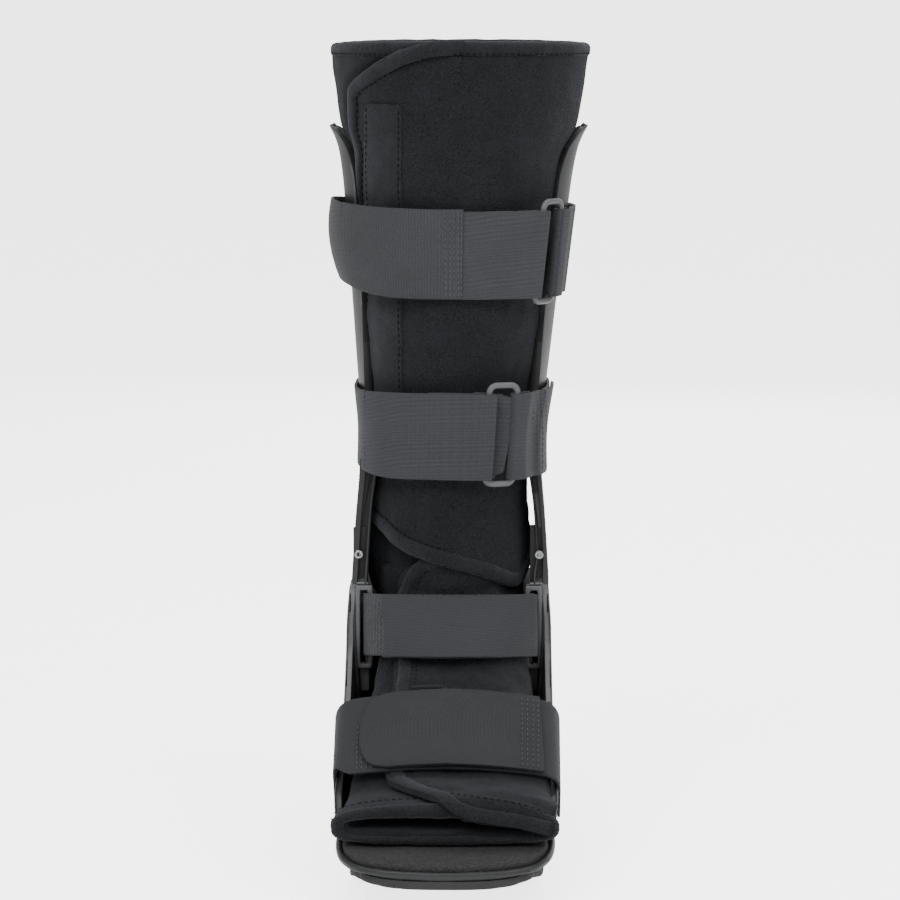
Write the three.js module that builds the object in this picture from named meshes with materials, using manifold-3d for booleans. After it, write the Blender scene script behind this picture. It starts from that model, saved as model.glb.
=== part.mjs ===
// Tall medical walking boot for the lower leg and foot. Millimetres, +Z up, toe towards -Y.
// The origin is the centre of the flat area that the sole rests on.
import * as THREE from "three";
import { mergeVertices } from "three/addons/utils/BufferGeometryUtils.js";
import Module from "manifold-3d";

const wasm = await Module();
wasm.setup();

// Overall sizes
const bootHeight = 446;
const clearance = 0.3;
const legAxisY = 52;
const legLean = 6;
const leanStart = 0.444 * bootHeight;

// Sole, tray and insole
const toeReach = 162;
const heelReach = 122;
const soleWidth = 116;
const restHalf = 65;
const toeSpring = 15;
const heelSpring = 10;
const rubberThickness = 4.5;
const treadPitch = 15;
const treadGap = 3;
const treadDepth = 1.6;
const rimHeight = 30;
const rimToeDrop = 6.5;
const rimDropStart = 60;
const rimWidth = 3;
const rimLip = 2.5;
const insoleThickness = 5.5;

// Shell walls and ankle flanges
const shellWall = 3.2;
const ankleTop = 143;
const flangeFront = 13;
const flangeThickness = 3.6;
const flangeWidth = 10.5;
const flangeBottom = 84;
const slotHeight = 40;
const slotWidth = 3;
const slotTopDrop = 2.6;
const slotSetIn = 5.2;
const tongueHeight = 34;
const tongueThickness = 3;

// Uprights and screws
const uprightTop = 0.8935 * bootHeight;
const uprightStandOff = 10;
const uprightPlate = 3.2;
const uprightHalfDepth = 36;
const screwHeight = 161;
const screwHeadRadius = 3.6;
const screwHeadHeight = 1.8;
const screwRadius = 1.8;
const screwLength = 9;
const padHeight = 32;

// Padded liner
const legHalf = 71.5;
const legFront = 62;
const legBack = 62;
const legWall = 7;
const ankleStandOff = 14;
const ankleHalf = 0.573 * legHalf + ankleStandOff;
const flapThickness = 3.8;
const linerSplit = 150;
const footHalf = 59.7;
const footTop = 52.5;
const footWall = 6.2;
const footFlapThickness = 2.8;
const bindingHeight = 8.5;
const bindingProud = 0.8;
const stripThickness = 0.8;
const stripTop = 0.924 * bootHeight;
const stripBottom = 0.507 * bootHeight;

// Webbing and rings
const webbing = 1.7;
const calfWebbingWidth = 50;
const upperStrapTop = 0.798 * bootHeight;
const lowerStrapTop = 0.574 * bootHeight;
const upperStrapSlack = 4;
const upperRingAngle = 50;
const lowerRingAngle = 19.5;
const ringBar = 3.4;
const ringWidth = 16;
const ringCorner = 3;
const strapTuck = 36;
const anchorReach = 62;
const ankleStrapTop = 142;
const ankleStrapWidth = 38;
const forefootWebbingWidth = 50;
const forefootStrapTop = 96;
const forefootStrapFront = 55;

const radians = Math.PI / 180;

// Materials
const shellPlastic = new THREE.MeshStandardMaterial({ color: 0x3b3c3e, roughness: 0.5, metalness: 0 });
const rubber = new THREE.MeshStandardMaterial({ color: 0x2a2a2b, roughness: 0.85, metalness: 0 });
const foam = new THREE.MeshStandardMaterial({ color: 0x2c2c2d, roughness: 0.95, metalness: 0 });
const fleece = new THREE.MeshStandardMaterial({ color: 0x14151a, roughness: 1, metalness: 0 });
const fleeceFlap = new THREE.MeshStandardMaterial({ color: 0x17181d, roughness: 1, metalness: 0 });
const binding = new THREE.MeshStandardMaterial({ color: 0x101114, roughness: 0.95, metalness: 0 });
const web = new THREE.MeshStandardMaterial({ color: 0x404145, roughness: 0.9, metalness: 0 });
const ringPlastic = new THREE.MeshStandardMaterial({ color: 0x6a6b6e, roughness: 0.45, metalness: 0 });
const steel = new THREE.MeshStandardMaterial({ color: 0xb8b9bb, roughness: 0.3, metalness: 1 });

const boot = new THREE.Group();

function add(name, geometry, material) {
  const mesh = new THREE.Mesh(geometry, material);
  mesh.name = name;
  boot.add(mesh);
  return mesh;
}

// Value of one column of a table at a place, straight between its rows
function atRow(rows, key, column, place) {
  if (place <= rows[0][key]) return rows[0][column];
  for (let i = 1; i < rows.length; i += 1) {
    const a = rows[i - 1];
    const b = rows[i];
    if (place <= b[key]) {
      const t = (place - a[key]) / (b[key] - a[key]);
      return a[column] + (b[column] - a[column]) * t;
    }
  }
  return rows[rows.length - 1][column];
}

// Even steps from one value to another
function range(from, to, step) {
  const count = Math.max(1, Math.round(Math.abs(to - from) / step));
  return Array.from({ length: count + 1 }, (_, i) => from + ((to - from) * i) / count);
}

// Smooth step from 0 at a to 1 at b
function ease(a, b, value) {
  const t = Math.min(1, Math.max(0, (value - a) / (b - a)));
  return t * t * (3 - 2 * t);
}

// Closed solid through rings of equal count; fan caps at both ends, or no caps on a closed loop
function loft(rings, closedLoop = false) {
  const count = rings[0].length;
  const positions = [];
  const index = [];
  for (const ring of rings) {
    for (const p of ring) positions.push(p.x, p.y, p.z);
  }
  const spans = closedLoop ? rings.length : rings.length - 1;
  for (let i = 0; i < spans; i += 1) {
    const next = (i + 1) % rings.length;
    for (let j = 0; j < count; j += 1) {
      const k = (j + 1) % count;
      const a = i * count + j;
      const b = i * count + k;
      const c = next * count + j;
      const d = next * count + k;
      index.push(a, b, d, a, d, c);
    }
  }
  if (!closedLoop) {
    for (const end of [0, rings.length - 1]) {
      const centre = new THREE.Vector3();
      for (const p of rings[end]) centre.add(p);
      centre.multiplyScalar(1 / count);
      const middle = positions.length / 3;
      positions.push(centre.x, centre.y, centre.z);
      for (let j = 0; j < count; j += 1) {
        const a = end * count + j;
        const b = end * count + ((j + 1) % count);
        if (end === 0) index.push(b, a, middle);
        else index.push(a, b, middle);
      }
    }
  }
  return facingOut(positions, index);
}

// Sheet with thickness: each station has its outer points and the inner points behind them
function sheet(stations) {
  const half = stations[0].outer.length;
  const count = half * 2;
  const positions = [];
  const index = [];
  for (const station of stations) {
    const ring = [...station.outer, ...[...station.inner].reverse()];
    for (const p of ring) positions.push(p.x, p.y, p.z);
  }
  for (let i = 0; i < stations.length - 1; i += 1) {
    for (let j = 0; j < count; j += 1) {
      const k = (j + 1) % count;
      const a = i * count + j;
      const b = i * count + k;
      index.push(a, b, b + count, a, b + count, a + count);
    }
  }
  for (const end of [0, stations.length - 1]) {
    for (let j = 0; j < half - 1; j += 1) {
      const a = end * count + j;
      const b = end * count + j + 1;
      const c = end * count + count - 2 - j;
      const d = end * count + count - 1 - j;
      if (end === 0) index.push(a, c, b, a, d, c);
      else index.push(a, b, c, a, c, d);
    }
  }
  return facingOut(positions, index);
}

// Turns the faces outwards where the signed volume says that they point in
function facingOut(positions, index) {
  let volume = 0;
  const at = (i) => new THREE.Vector3(positions[i * 3], positions[i * 3 + 1], positions[i * 3 + 2]);
  for (let i = 0; i < index.length; i += 3) {
    volume += at(index[i]).dot(at(index[i + 1]).cross(at(index[i + 2])));
  }
  if (volume < 0) {
    for (let i = 0; i < index.length; i += 3) [index[i], index[i + 1]] = [index[i + 1], index[i]];
  }
  const geometry = new THREE.BufferGeometry();
  geometry.setAttribute("position", new THREE.Float32BufferAttribute(positions, 3));
  geometry.setIndex(index);
  return geometry;
}

function toSolid(source) {
  const bare = source.clone();
  bare.deleteAttribute("normal");
  bare.deleteAttribute("uv");
  const merged = mergeVertices(bare, 1e-4);
  return new wasm.Manifold(new wasm.Mesh({
    numProp: 3,
    vertProperties: new Float32Array(merged.attributes.position.array),
    triVerts: new Uint32Array(merged.index.array),
  }));
}

function toGeometry(solid) {
  const mesh = solid.getMesh();
  const geometry = new THREE.BufferGeometry();
  geometry.setAttribute("position", new THREE.BufferAttribute(new Float32Array(mesh.vertProperties), 3));
  geometry.setIndex(new THREE.BufferAttribute(new Uint32Array(mesh.triVerts), 1));
  return geometry;
}

function box(low, high) {
  const size = high.map((v, i) => v - low[i]);
  const geometry = new THREE.BoxGeometry(size[0], size[1], size[2]);
  geometry.translate((low[0] + high[0]) / 2, (low[1] + high[1]) / 2, (low[2] + high[2]) / 2);
  return geometry;
}

// Round bar along Y from a front face back to a rear face
function barAlongY(x, z, front, back, radius, sides) {
  const geometry = new THREE.CylinderGeometry(radius, radius, back - front, sides);
  geometry.translate(0, (front + back) / 2, 0);
  geometry.translate(x, 0, z);
  return geometry;
}

// Box between two x values on one side of the boot, whichever side it is
function sideBox(side, xInner, xOuter, y0, y1, z0, z1) {
  const xs = [side * xInner, side * xOuter].sort((a, b) => a - b);
  return box([xs[0], y0, z0], [xs[1], y1, z1]);
}

// Sole outline: share of the way from toe to heel, share of half the sole's width
const soleOutline = [
  { along: 0, half: 0.28 },
  { along: 0.014, half: 0.6 },
  { along: 0.042, half: 0.81 },
  { along: 0.08, half: 0.915 },
  { along: 0.13, half: 0.975 },
  { along: 0.21, half: 1 },
  { along: 0.34, half: 0.965 },
  { along: 0.47, half: 0.9 },
  { along: 0.6, half: 0.845 },
  { along: 0.74, half: 0.795 },
  { along: 0.85, half: 0.74 },
  { along: 0.91, half: 0.66 },
  { along: 0.955, half: 0.52 },
  { along: 0.985, half: 0.34 },
  { along: 1, half: 0.16 },
];

function solePlace(along) {
  return -toeReach + along * (toeReach + heelReach);
}

function soleHalfAt(y, inset) {
  const length = toeReach + heelReach - 2 * inset;
  const along = (y + toeReach - inset) / length;
  return (soleWidth / 2) * atRow(soleOutline, "along", "half", along) - inset;
}

function bottomAt(y) {
  if (y < -restHalf) return toeSpring * ((-y - restHalf) / (toeReach - restHalf)) ** 1.7;
  if (y > restHalf) return heelSpring * ((y - restHalf) / (heelReach - restHalf)) ** 1.7;
  return 0;
}

function rimAt(y) {
  const t = Math.max(0, (-y - rimDropStart) / (toeReach - rimDropStart));
  return rimHeight - rimToeDrop * t ** 1.3;
}

function insoleTopAt(y) {
  return rimAt(y) - rimLip + clearance + insoleThickness;
}

// Places along the sole where a section is taken, closer at both ends
function solePlaces(inset) {
  const places = [];
  for (let i = 0; i < soleOutline.length; i += 1) {
    places.push(soleOutline[i].along);
    if (i > 4 && i < 10) places.push((soleOutline[i].along + soleOutline[i + 1].along) / 2);
  }
  return places.map((along) => solePlace(along) * (1 - inset / toeReach) + inset * 0.1);
}

// Plate that follows the sole outline between a lower and an upper height, set in from the outline
function solePlate(inset, lowAt, highAt, lowBevel, narrowAt = () => 0) {
  const rings = solePlaces(inset).map((y) => {
    const half = Math.max(2, soleHalfAt(y, inset) - narrowAt(y));
    const low = lowAt(y);
    const high = highAt(y);
    return [
      new THREE.Vector3(-half, y, low + lowBevel),
      new THREE.Vector3(-half + lowBevel, y, low),
      new THREE.Vector3(half - lowBevel, y, low),
      new THREE.Vector3(half, y, low + lowBevel),
      new THREE.Vector3(half, y, high),
      new THREE.Vector3(-half, y, high),
    ];
  });
  return loft(rings);
}

// Rubber outsole with cross grooves; the block at the origin stays whole
let sole = toSolid(solePlate(0, bottomAt, (y) => bottomAt(y) + rubberThickness, 1.2));
for (const way of [-1, 1]) {
  const reach = way < 0 ? toeReach : heelReach;
  for (let y = treadPitch / 2; y < reach - treadPitch; y += treadPitch) {
    const low = bottomAt(way * (y + treadGap / 2));
    const ys = [way * y, way * (y + treadGap)].sort((a, b) => a - b);
    const reachX = soleWidth;
    sole = sole.subtract(toSolid(box([-reachX, ys[0], low - treadDepth * 2], [reachX, ys[1], low + treadDepth])));
  }
}
add("outsole", toGeometry(sole), rubber);

// Shell wall: from the ear beside the forefoot round to the heel. Columns: y of the low and high edge as
// shares of the toe or heel reach, half width at the low and high edge as shares of half the sole's width,
// and the height of the top edge as a share of the ankle height
const wallRows = [
  { yLow: -0.6, yHigh: -0.61, low: 0.965, high: 1.0, top: 0.27 },
  { yLow: -0.52, yHigh: -0.54, low: 0.955, high: 1.015, top: 0.33 },
  { yLow: -0.4, yHigh: -0.41, low: 0.94, high: 1.01, top: 0.37 },
  { yLow: -0.26, yHigh: -0.25, low: 0.905, high: 0.995, top: 0.43 },
  { yLow: -0.1, yHigh: -0.08, low: 0.87, high: 0.985, top: 0.6 },
  { yLow: 0.02, yHigh: 0.045, low: 0.85, high: 0.975, top: 0.78 },
  { yLow: 0.11, yHigh: 0.11, low: 0.84, high: 0.955, top: 1 },
  { yLow: 0.3, yHigh: 0.3, low: 0.81, high: 0.95, top: 1 },
  { yLow: 0.48, yHigh: 0.48, low: 0.785, high: 0.948, top: 1 },
  { yLow: 0.64, yHigh: 0.64, low: 0.755, high: 0.93, top: 1 },
  { yLow: 0.78, yHigh: 0.76, low: 0.68, high: 0.85, top: 0.985 },
  { yLow: 0.89, yHigh: 0.86, low: 0.52, high: 0.68, top: 0.94 },
  { yLow: 0.955, yHigh: 0.925, low: 0.28, high: 0.38, top: 0.87 },
  { yLow: 0.975, yHigh: 0.95, low: 0, high: 0, top: 0.84 },
];
const wallLevels = [0, 0.3, 0.65, 1];

function wallY(share) {
  return share * (share < 0 ? toeReach : heelReach);
}

function wallStations() {
  const outline = wallRows.map((row) => ({ ...row, side: 1 }));
  const mirrored = wallRows.slice(0, -1).reverse().map((row) => ({ ...row, side: -1 }));
  const rows = [...outline, ...mirrored];
  const low = rows.map((row) => new THREE.Vector3(row.side * row.low * soleWidth / 2, wallY(row.yLow), 0));
  const high = rows.map((row) => {
    const half = row.high * (row.top > 0.9 ? ankleHalf / 0.948 : soleWidth / 2);
    return new THREE.Vector3(row.side * half, wallY(row.yHigh), row.top * ankleTop);
  });
  return rows.map((row, i) => {
    low[i].z = rimAt(low[i].y) - rimLip;
    const before = Math.max(0, i - 1);
    const after = Math.min(rows.length - 1, i + 1);
    const along = high[after].clone().sub(high[before]).setZ(0).normalize();
    const inward = new THREE.Vector3(-along.y, along.x, 0);
    const outer = wallLevels.map((level) => {
      const p = low[i].clone().lerp(high[i], level);
      return p.addScaledVector(inward, -Math.sin(level * Math.PI) * 1.2);
    });
    const inner = outer.map((p) => p.clone().addScaledVector(inward, shellWall));
    return { outer, inner };
  });
}

let shell = toSolid(solePlate(0, (y) => bottomAt(y) + rubberThickness + clearance, rimAt, 0.4));
shell = shell.subtract(toSolid(solePlate(rimWidth, (y) => rimAt(y) - rimLip, (y) => rimAt(y) + 20, 0)));
shell = shell.add(toSolid(sheet(wallStations())));

// Ankle flanges face forward beside the instep, each with a slot for the ankle strap; a tongue rises
// behind each upright and takes its screw
const flangeInner = ankleHalf - flangeWidth;
const flangeBack = flangeFront + flangeThickness;
const slotTop = ankleTop - slotTopDrop;
const slotCentre = ankleHalf - slotSetIn;
const screwCentre = ankleHalf - slotSetIn + 0.6;
const padBack = flangeBack + clearance;
const tongueOuter = ankleHalf - uprightPlate + 0.4;

// Box of the tongue behind one upright, grown all round by a margin
function tongueBox(side, margin) {
  return sideBox(
    side, flangeInner + 0.6 - margin, tongueOuter + margin,
    padBack - margin, padBack + tongueThickness + margin, ankleTop - 6, ankleTop + tongueHeight + margin,
  );
}
for (const side of [-1, 1]) {
  const flange = sideBox(side, flangeInner, ankleHalf - 0.6, flangeFront, flangeBack, flangeBottom, ankleTop);
  const flangeReturn = sideBox(
    side, ankleHalf - shellWall, ankleHalf - 0.6, flangeFront, flangeBack + 6, flangeBottom, ankleTop,
  );
  const root = sideBox(
    side, flangeInner + 0.6, tongueOuter,
    flangeBack - 1, padBack + tongueThickness, ankleTop - 6, ankleTop,
  );
  const slot = sideBox(
    side, slotCentre - slotWidth / 2, slotCentre + slotWidth / 2,
    flangeFront - 5, flangeBack + 4, slotTop - slotHeight, slotTop,
  );
  const bore = barAlongY(side * screwCentre, screwHeight, padBack - 2, padBack + 8, screwRadius + clearance, 14);
  shell = shell.add(toSolid(flange)).add(toSolid(flangeReturn)).add(toSolid(tongueBox(side, 0))).add(toSolid(root));
  shell = shell.subtract(toSolid(slot)).subtract(toSolid(bore));
}
add("foot_shell", toGeometry(shell), shellPlastic);

// Insole: as wide as the tray at the toe, and narrower between the walls
const insoleGiveWay = 1.6 * shellWall;
const insoleHeelGap = 2.6 * shellWall;
const insole = solePlate(
  rimWidth + clearance, (y) => rimAt(y) - rimLip + clearance, insoleTopAt, 0,
  (y) => insoleGiveWay * ease(-0.72 * toeReach, -0.62 * toeReach, y),
);
const behindInsole = box(
  [-soleWidth, heelReach - insoleHeelGap, 0], [soleWidth, heelReach + 1, rimHeight + insoleThickness * 2],
);
add("insole", toGeometry(toSolid(insole).subtract(toSolid(behindInsole))), foam);

// Sideways place of the leg's axis at a height
function leanAt(z) {
  return legLean * Math.max(0, (z - leanStart) / (bootHeight - leanStart));
}

// Leg form: share of the boot's height; half width, front and back reach as shares of those at the rim
const legForm = [
  { up: 0.07, half: 0.5, front: 0.86, back: 0.78 },
  { up: 0.135, half: 0.555, front: 0.86, back: 0.86 },
  { up: 0.224, half: 0.57, front: 0.845, back: 0.84 },
  { up: 0.336, half: 0.573, front: 0.84, back: 0.8 },
  { up: 0.406, half: 0.594, front: 0.855, back: 0.82 },
  { up: 0.462, half: 0.61, front: 0.885, back: 0.845 },
  { up: 0.516, half: 0.636, front: 0.91, back: 0.885 },
  { up: 0.572, half: 0.665, front: 0.935, back: 0.925 },
  { up: 0.686, half: 0.735, front: 0.985, back: 0.985 },
  { up: 0.798, half: 0.8, front: 1, back: 1.015 },
  { up: 0.834, half: 0.812, front: 1.005, back: 1.015 },
  { up: 0.863, half: 0.838, front: 1.01, back: 1.015 },
  { up: 0.892, half: 0.895, front: 1.01, back: 1.01 },
  { up: 1, half: 1, front: 1, back: 1 },
];

// Point on the leg's outer form; the angle is 0 in front and grows towards +X
function legPoint(degrees, z, offset) {
  const up = z / bootHeight;
  const half = legHalf * atRow(legForm, "up", "half", up) + offset;
  const front = legFront * atRow(legForm, "up", "front", up) + offset;
  const back = legBack * atRow(legForm, "up", "back", up) + offset;
  const a = degrees * radians;
  const reach = Math.cos(a) > 0 ? front : back;
  return new THREE.Vector3(leanAt(z) + half * Math.sin(a), legAxisY - reach * Math.cos(a), z);
}

// How far the under layer lies below the outer form: under the flap, and level with it elsewhere
const flapLeft = -63;
const flapRight = 117;
function underDrop(degrees) {
  const intoFlap = ease(flapLeft - 28, flapLeft - 4, degrees);
  const outOfFlap = 1 - ease(flapRight + 4, flapRight + 28, degrees);
  return -(flapThickness + 2 * clearance) * Math.min(intoFlap, outOfFlap);
}

const ringStep = 9;

function legRing(z, offset) {
  const count = 360 / ringStep;
  const ring = [];
  for (let i = 0; i < count; i += 1) {
    const degrees = -180 + ringStep * i;
    ring.push(legPoint(degrees, z, underDrop(degrees) + offset));
  }
  return ring;
}

function legHeights(low, high) {
  const between = legForm.map((row) => row.up * bootHeight).filter((z) => z > low + 4 && z < high - 4);
  return [low, ...between, high];
}

// Leg part of the liner: a padded tube, open at both ends
const bindingBottom = bootHeight - bindingHeight;
const legTubeTop = bindingBottom - clearance;
const legOuter = toSolid(loft(legHeights(linerSplit, legTubeTop).map((z) => legRing(z, 0))));
const legInner = toSolid(loft(legHeights(linerSplit - 1, legTubeTop + 1).map((z) => legRing(z, -legWall))));
add("liner_leg", toGeometry(legOuter.subtract(legInner)), fleece);

// Over-flap of the leg part: bottom and top edge by angle, as shares of the boot's height
const flapEdges = [
  { angle: flapLeft, low: 0.5, high: 0.94 },
  { angle: -50, low: 0.452, high: 0.958 },
  { angle: -40, low: 0.425, high: 0.97 },
  { angle: -28, low: 0.403, high: 0.978 },
  { angle: -14, low: 0.386, high: 0.98 },
  { angle: 0, low: 0.375, high: 0.98 },
  { angle: 16, low: 0.366, high: 0.98 },
  { angle: 32, low: 0.356, high: 0.98 },
  { angle: 50, low: 0.344, high: 0.98 },
  { angle: 66, low: 0.35, high: 0.98 },
  { angle: 82, low: 0.37, high: 0.98 },
  { angle: 97, low: 0.4, high: 0.98 },
  { angle: flapRight, low: 0.42, high: 0.98 },
];
const flapSteps = 14;
const flapStations = range(flapLeft, flapRight, ringStep).map((angle) => {
  const low = atRow(flapEdges, "angle", "low", angle) * bootHeight;
  const high = Math.min(atRow(flapEdges, "angle", "high", angle) * bootHeight, legTubeTop);
  const heights = [];
  for (let i = 0; i <= flapSteps; i += 1) heights.push(low + ((high - low) * i) / flapSteps);
  return {
    outer: heights.map((z) => legPoint(angle, z, 0)),
    inner: heights.map((z) => legPoint(angle, z, -flapThickness)),
  };
});
add("leg_flap", sheet(flapStations), fleeceFlap);

// Bound rim: a closed ring on top of the tube and the flap
const rimAngles = range(-180, 180 - ringStep, ringStep);
const rimOuter = toSolid(loft([bindingBottom, bootHeight].map((z) => (
  rimAngles.map((degrees) => legPoint(degrees, z, bindingProud))
))));
const rimInner = toSolid(loft([bindingBottom - 1, bootHeight + 1].map((z) => legRing(z, -legWall))));
add("rim_binding", toGeometry(rimOuter.subtract(rimInner)), binding);

// Strip sewn along the free edge of the flap
const stripAngles = [-52, -46, -40, -34, -28];
add("closure_strip", sheet(stripAngles.map((angle) => {
  const heights = [];
  for (let i = 0; i <= flapSteps; i += 1) {
    heights.push(stripBottom + ((stripTop - stripBottom) * i) / flapSteps);
  }
  return {
    outer: heights.map((z) => legPoint(angle, z, clearance + stripThickness)),
    inner: heights.map((z) => legPoint(angle, z, clearance)),
  };
})), binding);

// Foot form from the toe opening to the ankle: y as a share of the toe reach, half width as a share of the
// widest, top edge as a share of its height at the toe
const footForm = [
  { along: -0.8, half: 0.98, top: 1 },
  { along: -0.76, half: 1, top: 1.02 },
  { along: -0.68, half: 0.985, top: 1.03 },
  { along: -0.625, half: 0.92, top: 1.04 },
  { along: -0.56, half: 0.91, top: 1.05 },
  { along: -0.45, half: 0.88, top: 1.31 },
  { along: -0.34, half: 0.84, top: 1.67 },
  { along: -0.16, half: 0.79, top: 1.94 },
  { along: -0.03, half: 0.74, top: 2.5 },
  { along: 0.06, half: 0.69, top: 2.66 },
  { along: 0.3, half: 0.6, top: 2.7 },
];

// Point on the foot's outer form; the angle is 0 at the right side, 90 on top and 270 below
function footPoint(degrees, y, offset) {
  const along = y / toeReach;
  const half = footHalf * atRow(footForm, "along", "half", along) + offset;
  const top = footTop * atRow(footForm, "along", "top", along) + offset;
  const low = insoleTopAt(y) + clearance - offset;
  const middle = low + (top - low) * 0.4;
  const a = degrees * radians;
  const power = Math.sin(a) < 0 ? 0.45 : 0.72;
  const reach = Math.sin(a) < 0 ? middle - low : top - middle;
  const x = half * Math.sign(Math.cos(a)) * Math.abs(Math.cos(a)) ** power;
  return new THREE.Vector3(x, y, middle + reach * Math.sign(Math.sin(a)) * Math.abs(Math.sin(a)) ** power);
}

function footRing(y, offset, count = 28) {
  const ring = [];
  for (let i = 0; i < count; i += 1) ring.push(footPoint((360 * (i + 0.5)) / count, y, offset));
  return ring;
}

function footTube(offset, firstY) {
  const places = footForm.map((row) => row.along * toeReach).filter((y) => y > firstY + 2);
  return toSolid(loft([firstY, ...places].map((y) => footRing(y, offset))));
}

function heelTube(offset, low, high) {
  return toSolid(loft(legHeights(low, high).map((z) => legRing(z, offset))));
}

// Foot part of the liner: a bootie with a low open toe and an open ankle
const toeOpening = footForm[0].along * toeReach;
const heelLow = insoleTopAt(legAxisY) + clearance;
const footOuter = footTube(0, toeOpening).add(heelTube(0, heelLow, linerSplit - clearance));
const footInner = footTube(-footWall, toeOpening - 2).add(heelTube(-footWall, heelLow + footWall, linerSplit + 2));
add("liner_foot", toGeometry(footOuter.subtract(footInner)), fleece);

// Over-flap of the foot part: the angle of its free edge by place along the foot
const footFlapEdges = [
  { along: -0.798, from: 99 },
  { along: -0.76, from: 104 },
  { along: -0.68, from: 116 },
  { along: -0.625, from: 124 },
  { along: -0.56, from: 128 },
  { along: -0.45, from: 126 },
  { along: -0.34, from: 124 },
  { along: -0.22, from: 124 },
];
const footFlapRight = 32;
const footFlapSteps = 9;
add("foot_flap", sheet(footFlapEdges.map((row) => {
  const outer = [];
  const inner = [];
  for (let i = 0; i <= footFlapSteps; i += 1) {
    const degrees = row.from + ((footFlapRight - row.from) * i) / footFlapSteps;
    outer.push(footPoint(degrees, row.along * toeReach, clearance + footFlapThickness));
    inner.push(footPoint(degrees, row.along * toeReach, clearance));
  }
  return { outer, inner };
})), fleeceFlap);

// Upright: share of the way from the joint line to the tip; gap between the leg and the plate as a share
// of the stand-off; front and back edge as shares of the plate's half depth; how far its edges curl in, as
// a share of the plate's half depth
const uprightForm = [
  { up: 0, gap: 1.09, front: 1.03, back: 0.72, sag: 0.03 },
  { up: 0.149, gap: 0.73, front: 1.0, back: 0.67, sag: 0.04 },
  { up: 0.247, gap: 0.5, front: 0.944, back: 0.67, sag: 0.1 },
  { up: 0.341, gap: 0.293, front: 0.889, back: 0.69, sag: 0.12 },
  { up: 0.438, gap: 0.225, front: 0.833, back: 0.72, sag: 0.15 },
  { up: 0.638, gap: 0.253, front: 0.778, back: 0.83, sag: 0.19 },
  { up: 0.834, gap: 0.436, front: 0.722, back: 0.9, sag: 0.215 },
  { up: 0.896, gap: 0.473, front: 0.667, back: 0.88, sag: 0.21 },
  { up: 0.947, gap: 0.42, front: 0.528, back: 0.78, sag: 0.16 },
  { up: 0.975, gap: 0.417, front: 0.361, back: 0.61, sag: 0.09 },
  { up: 1, gap: 0.53, front: 0.167, back: 0.333, sag: 0.03 },
];
const uprightBottom = ankleTop + clearance;

const uprightRows = uprightForm.map((row) => {
  const z = uprightBottom + row.up * (uprightTop - uprightBottom);
  const leg = legHalf * atRow(legForm, "up", "half", z / bootHeight);
  return { ...row, z, half: leg + row.gap * uprightStandOff + uprightPlate };
});

// Outer half width of the boot over the uprights at a height
function uprightHalfAt(z) {
  return atRow(uprightRows, "z", "half", z);
}

function uprightStation(side, row) {
  const { z, half } = row;
  const outer = [];
  const inner = [];
  for (let i = 0; i <= 6; i += 1) {
    const t = -1 + i / 3;
    const depth = uprightHalfDepth * (t < 0 ? row.front : row.back) * t;
    const x = half - uprightHalfDepth * row.sag * t * t;
    outer.push(new THREE.Vector3(leanAt(z) + side * x, legAxisY + depth, z));
    inner.push(new THREE.Vector3(leanAt(z) + side * (x - uprightPlate), legAxisY + depth, z));
  }
  return { outer, inner };
}

for (const [side, name] of [[-1, "left"], [1, "right"]]) {
  let upright = toSolid(sheet(uprightRows.map((row) => uprightStation(side, row))));
  const pad = sideBox(
    side, flangeInner + 1, ankleHalf - 1, flangeFront, flangeBack, uprightBottom, uprightBottom + padHeight,
  );
  const hole = barAlongY(
    side * screwCentre, screwHeight, flangeFront - 2, flangeBack + 2, screwRadius + clearance, 14,
  );
  upright = upright.add(toSolid(pad)).subtract(toSolid(tongueBox(side, clearance))).subtract(toSolid(hole));
  add(`upright_${name}`, toGeometry(upright), shellPlastic);
  const headFront = flangeFront - clearance - screwHeadHeight;
  const head = barAlongY(side * screwCentre, screwHeight, headFront, flangeFront - clearance, screwHeadRadius, 16);
  const shank = barAlongY(
    side * screwCentre, screwHeight, headFront + 0.5, headFront + screwLength, screwRadius, 14,
  );
  add(`screw_${name}`, toGeometry(toSolid(head).add(toSolid(shank))), steel);
}

// Loop in which a calf strap lies: outside the uprights at the sides, on the flap in front
function strapPoint(degrees, z, offset, lay) {
  const up = z / bootHeight;
  const a = degrees * radians;
  const loose = Math.sin(a) < 0 ? lay.slack * Math.sin(a) ** 2 : 0;
  const half = uprightHalfAt(z) + loose + clearance + offset;
  const front = legFront * atRow(legForm, "up", "front", up) + clearance + stripThickness + clearance + offset;
  const back = legBack * atRow(legForm, "up", "back", up) + 3 * clearance + offset;
  const reach = Math.cos(a) > 0 ? front : back;
  const sideways = Math.sign(Math.sin(a)) * Math.abs(Math.sin(a)) ** lay.squareness;
  const forwards = Math.sign(Math.cos(a)) * Math.abs(Math.cos(a)) ** lay.squareness;
  return new THREE.Vector3(leanAt(z) + half * sideways, legAxisY - reach * forwards, z);
}

// Flat webbing along two edge lines that run side by side
function webbingBand(topEdge, lowEdge, thickness) {
  return sheet(topEdge.map((top, i) => {
    const before = Math.max(0, i - 1);
    const after = Math.min(topEdge.length - 1, i + 1);
    const along = topEdge[after].clone().sub(topEdge[before]).add(lowEdge[after]).sub(lowEdge[before]);
    const across = top.clone().sub(lowEdge[i]);
    const normal = along.cross(across).normalize().multiplyScalar(thickness / 2);
    return {
      outer: [top.clone().add(normal), lowEdge[i].clone().add(normal)],
      inner: [top.clone().sub(normal), lowEdge[i].clone().sub(normal)],
    };
  }));
}

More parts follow.
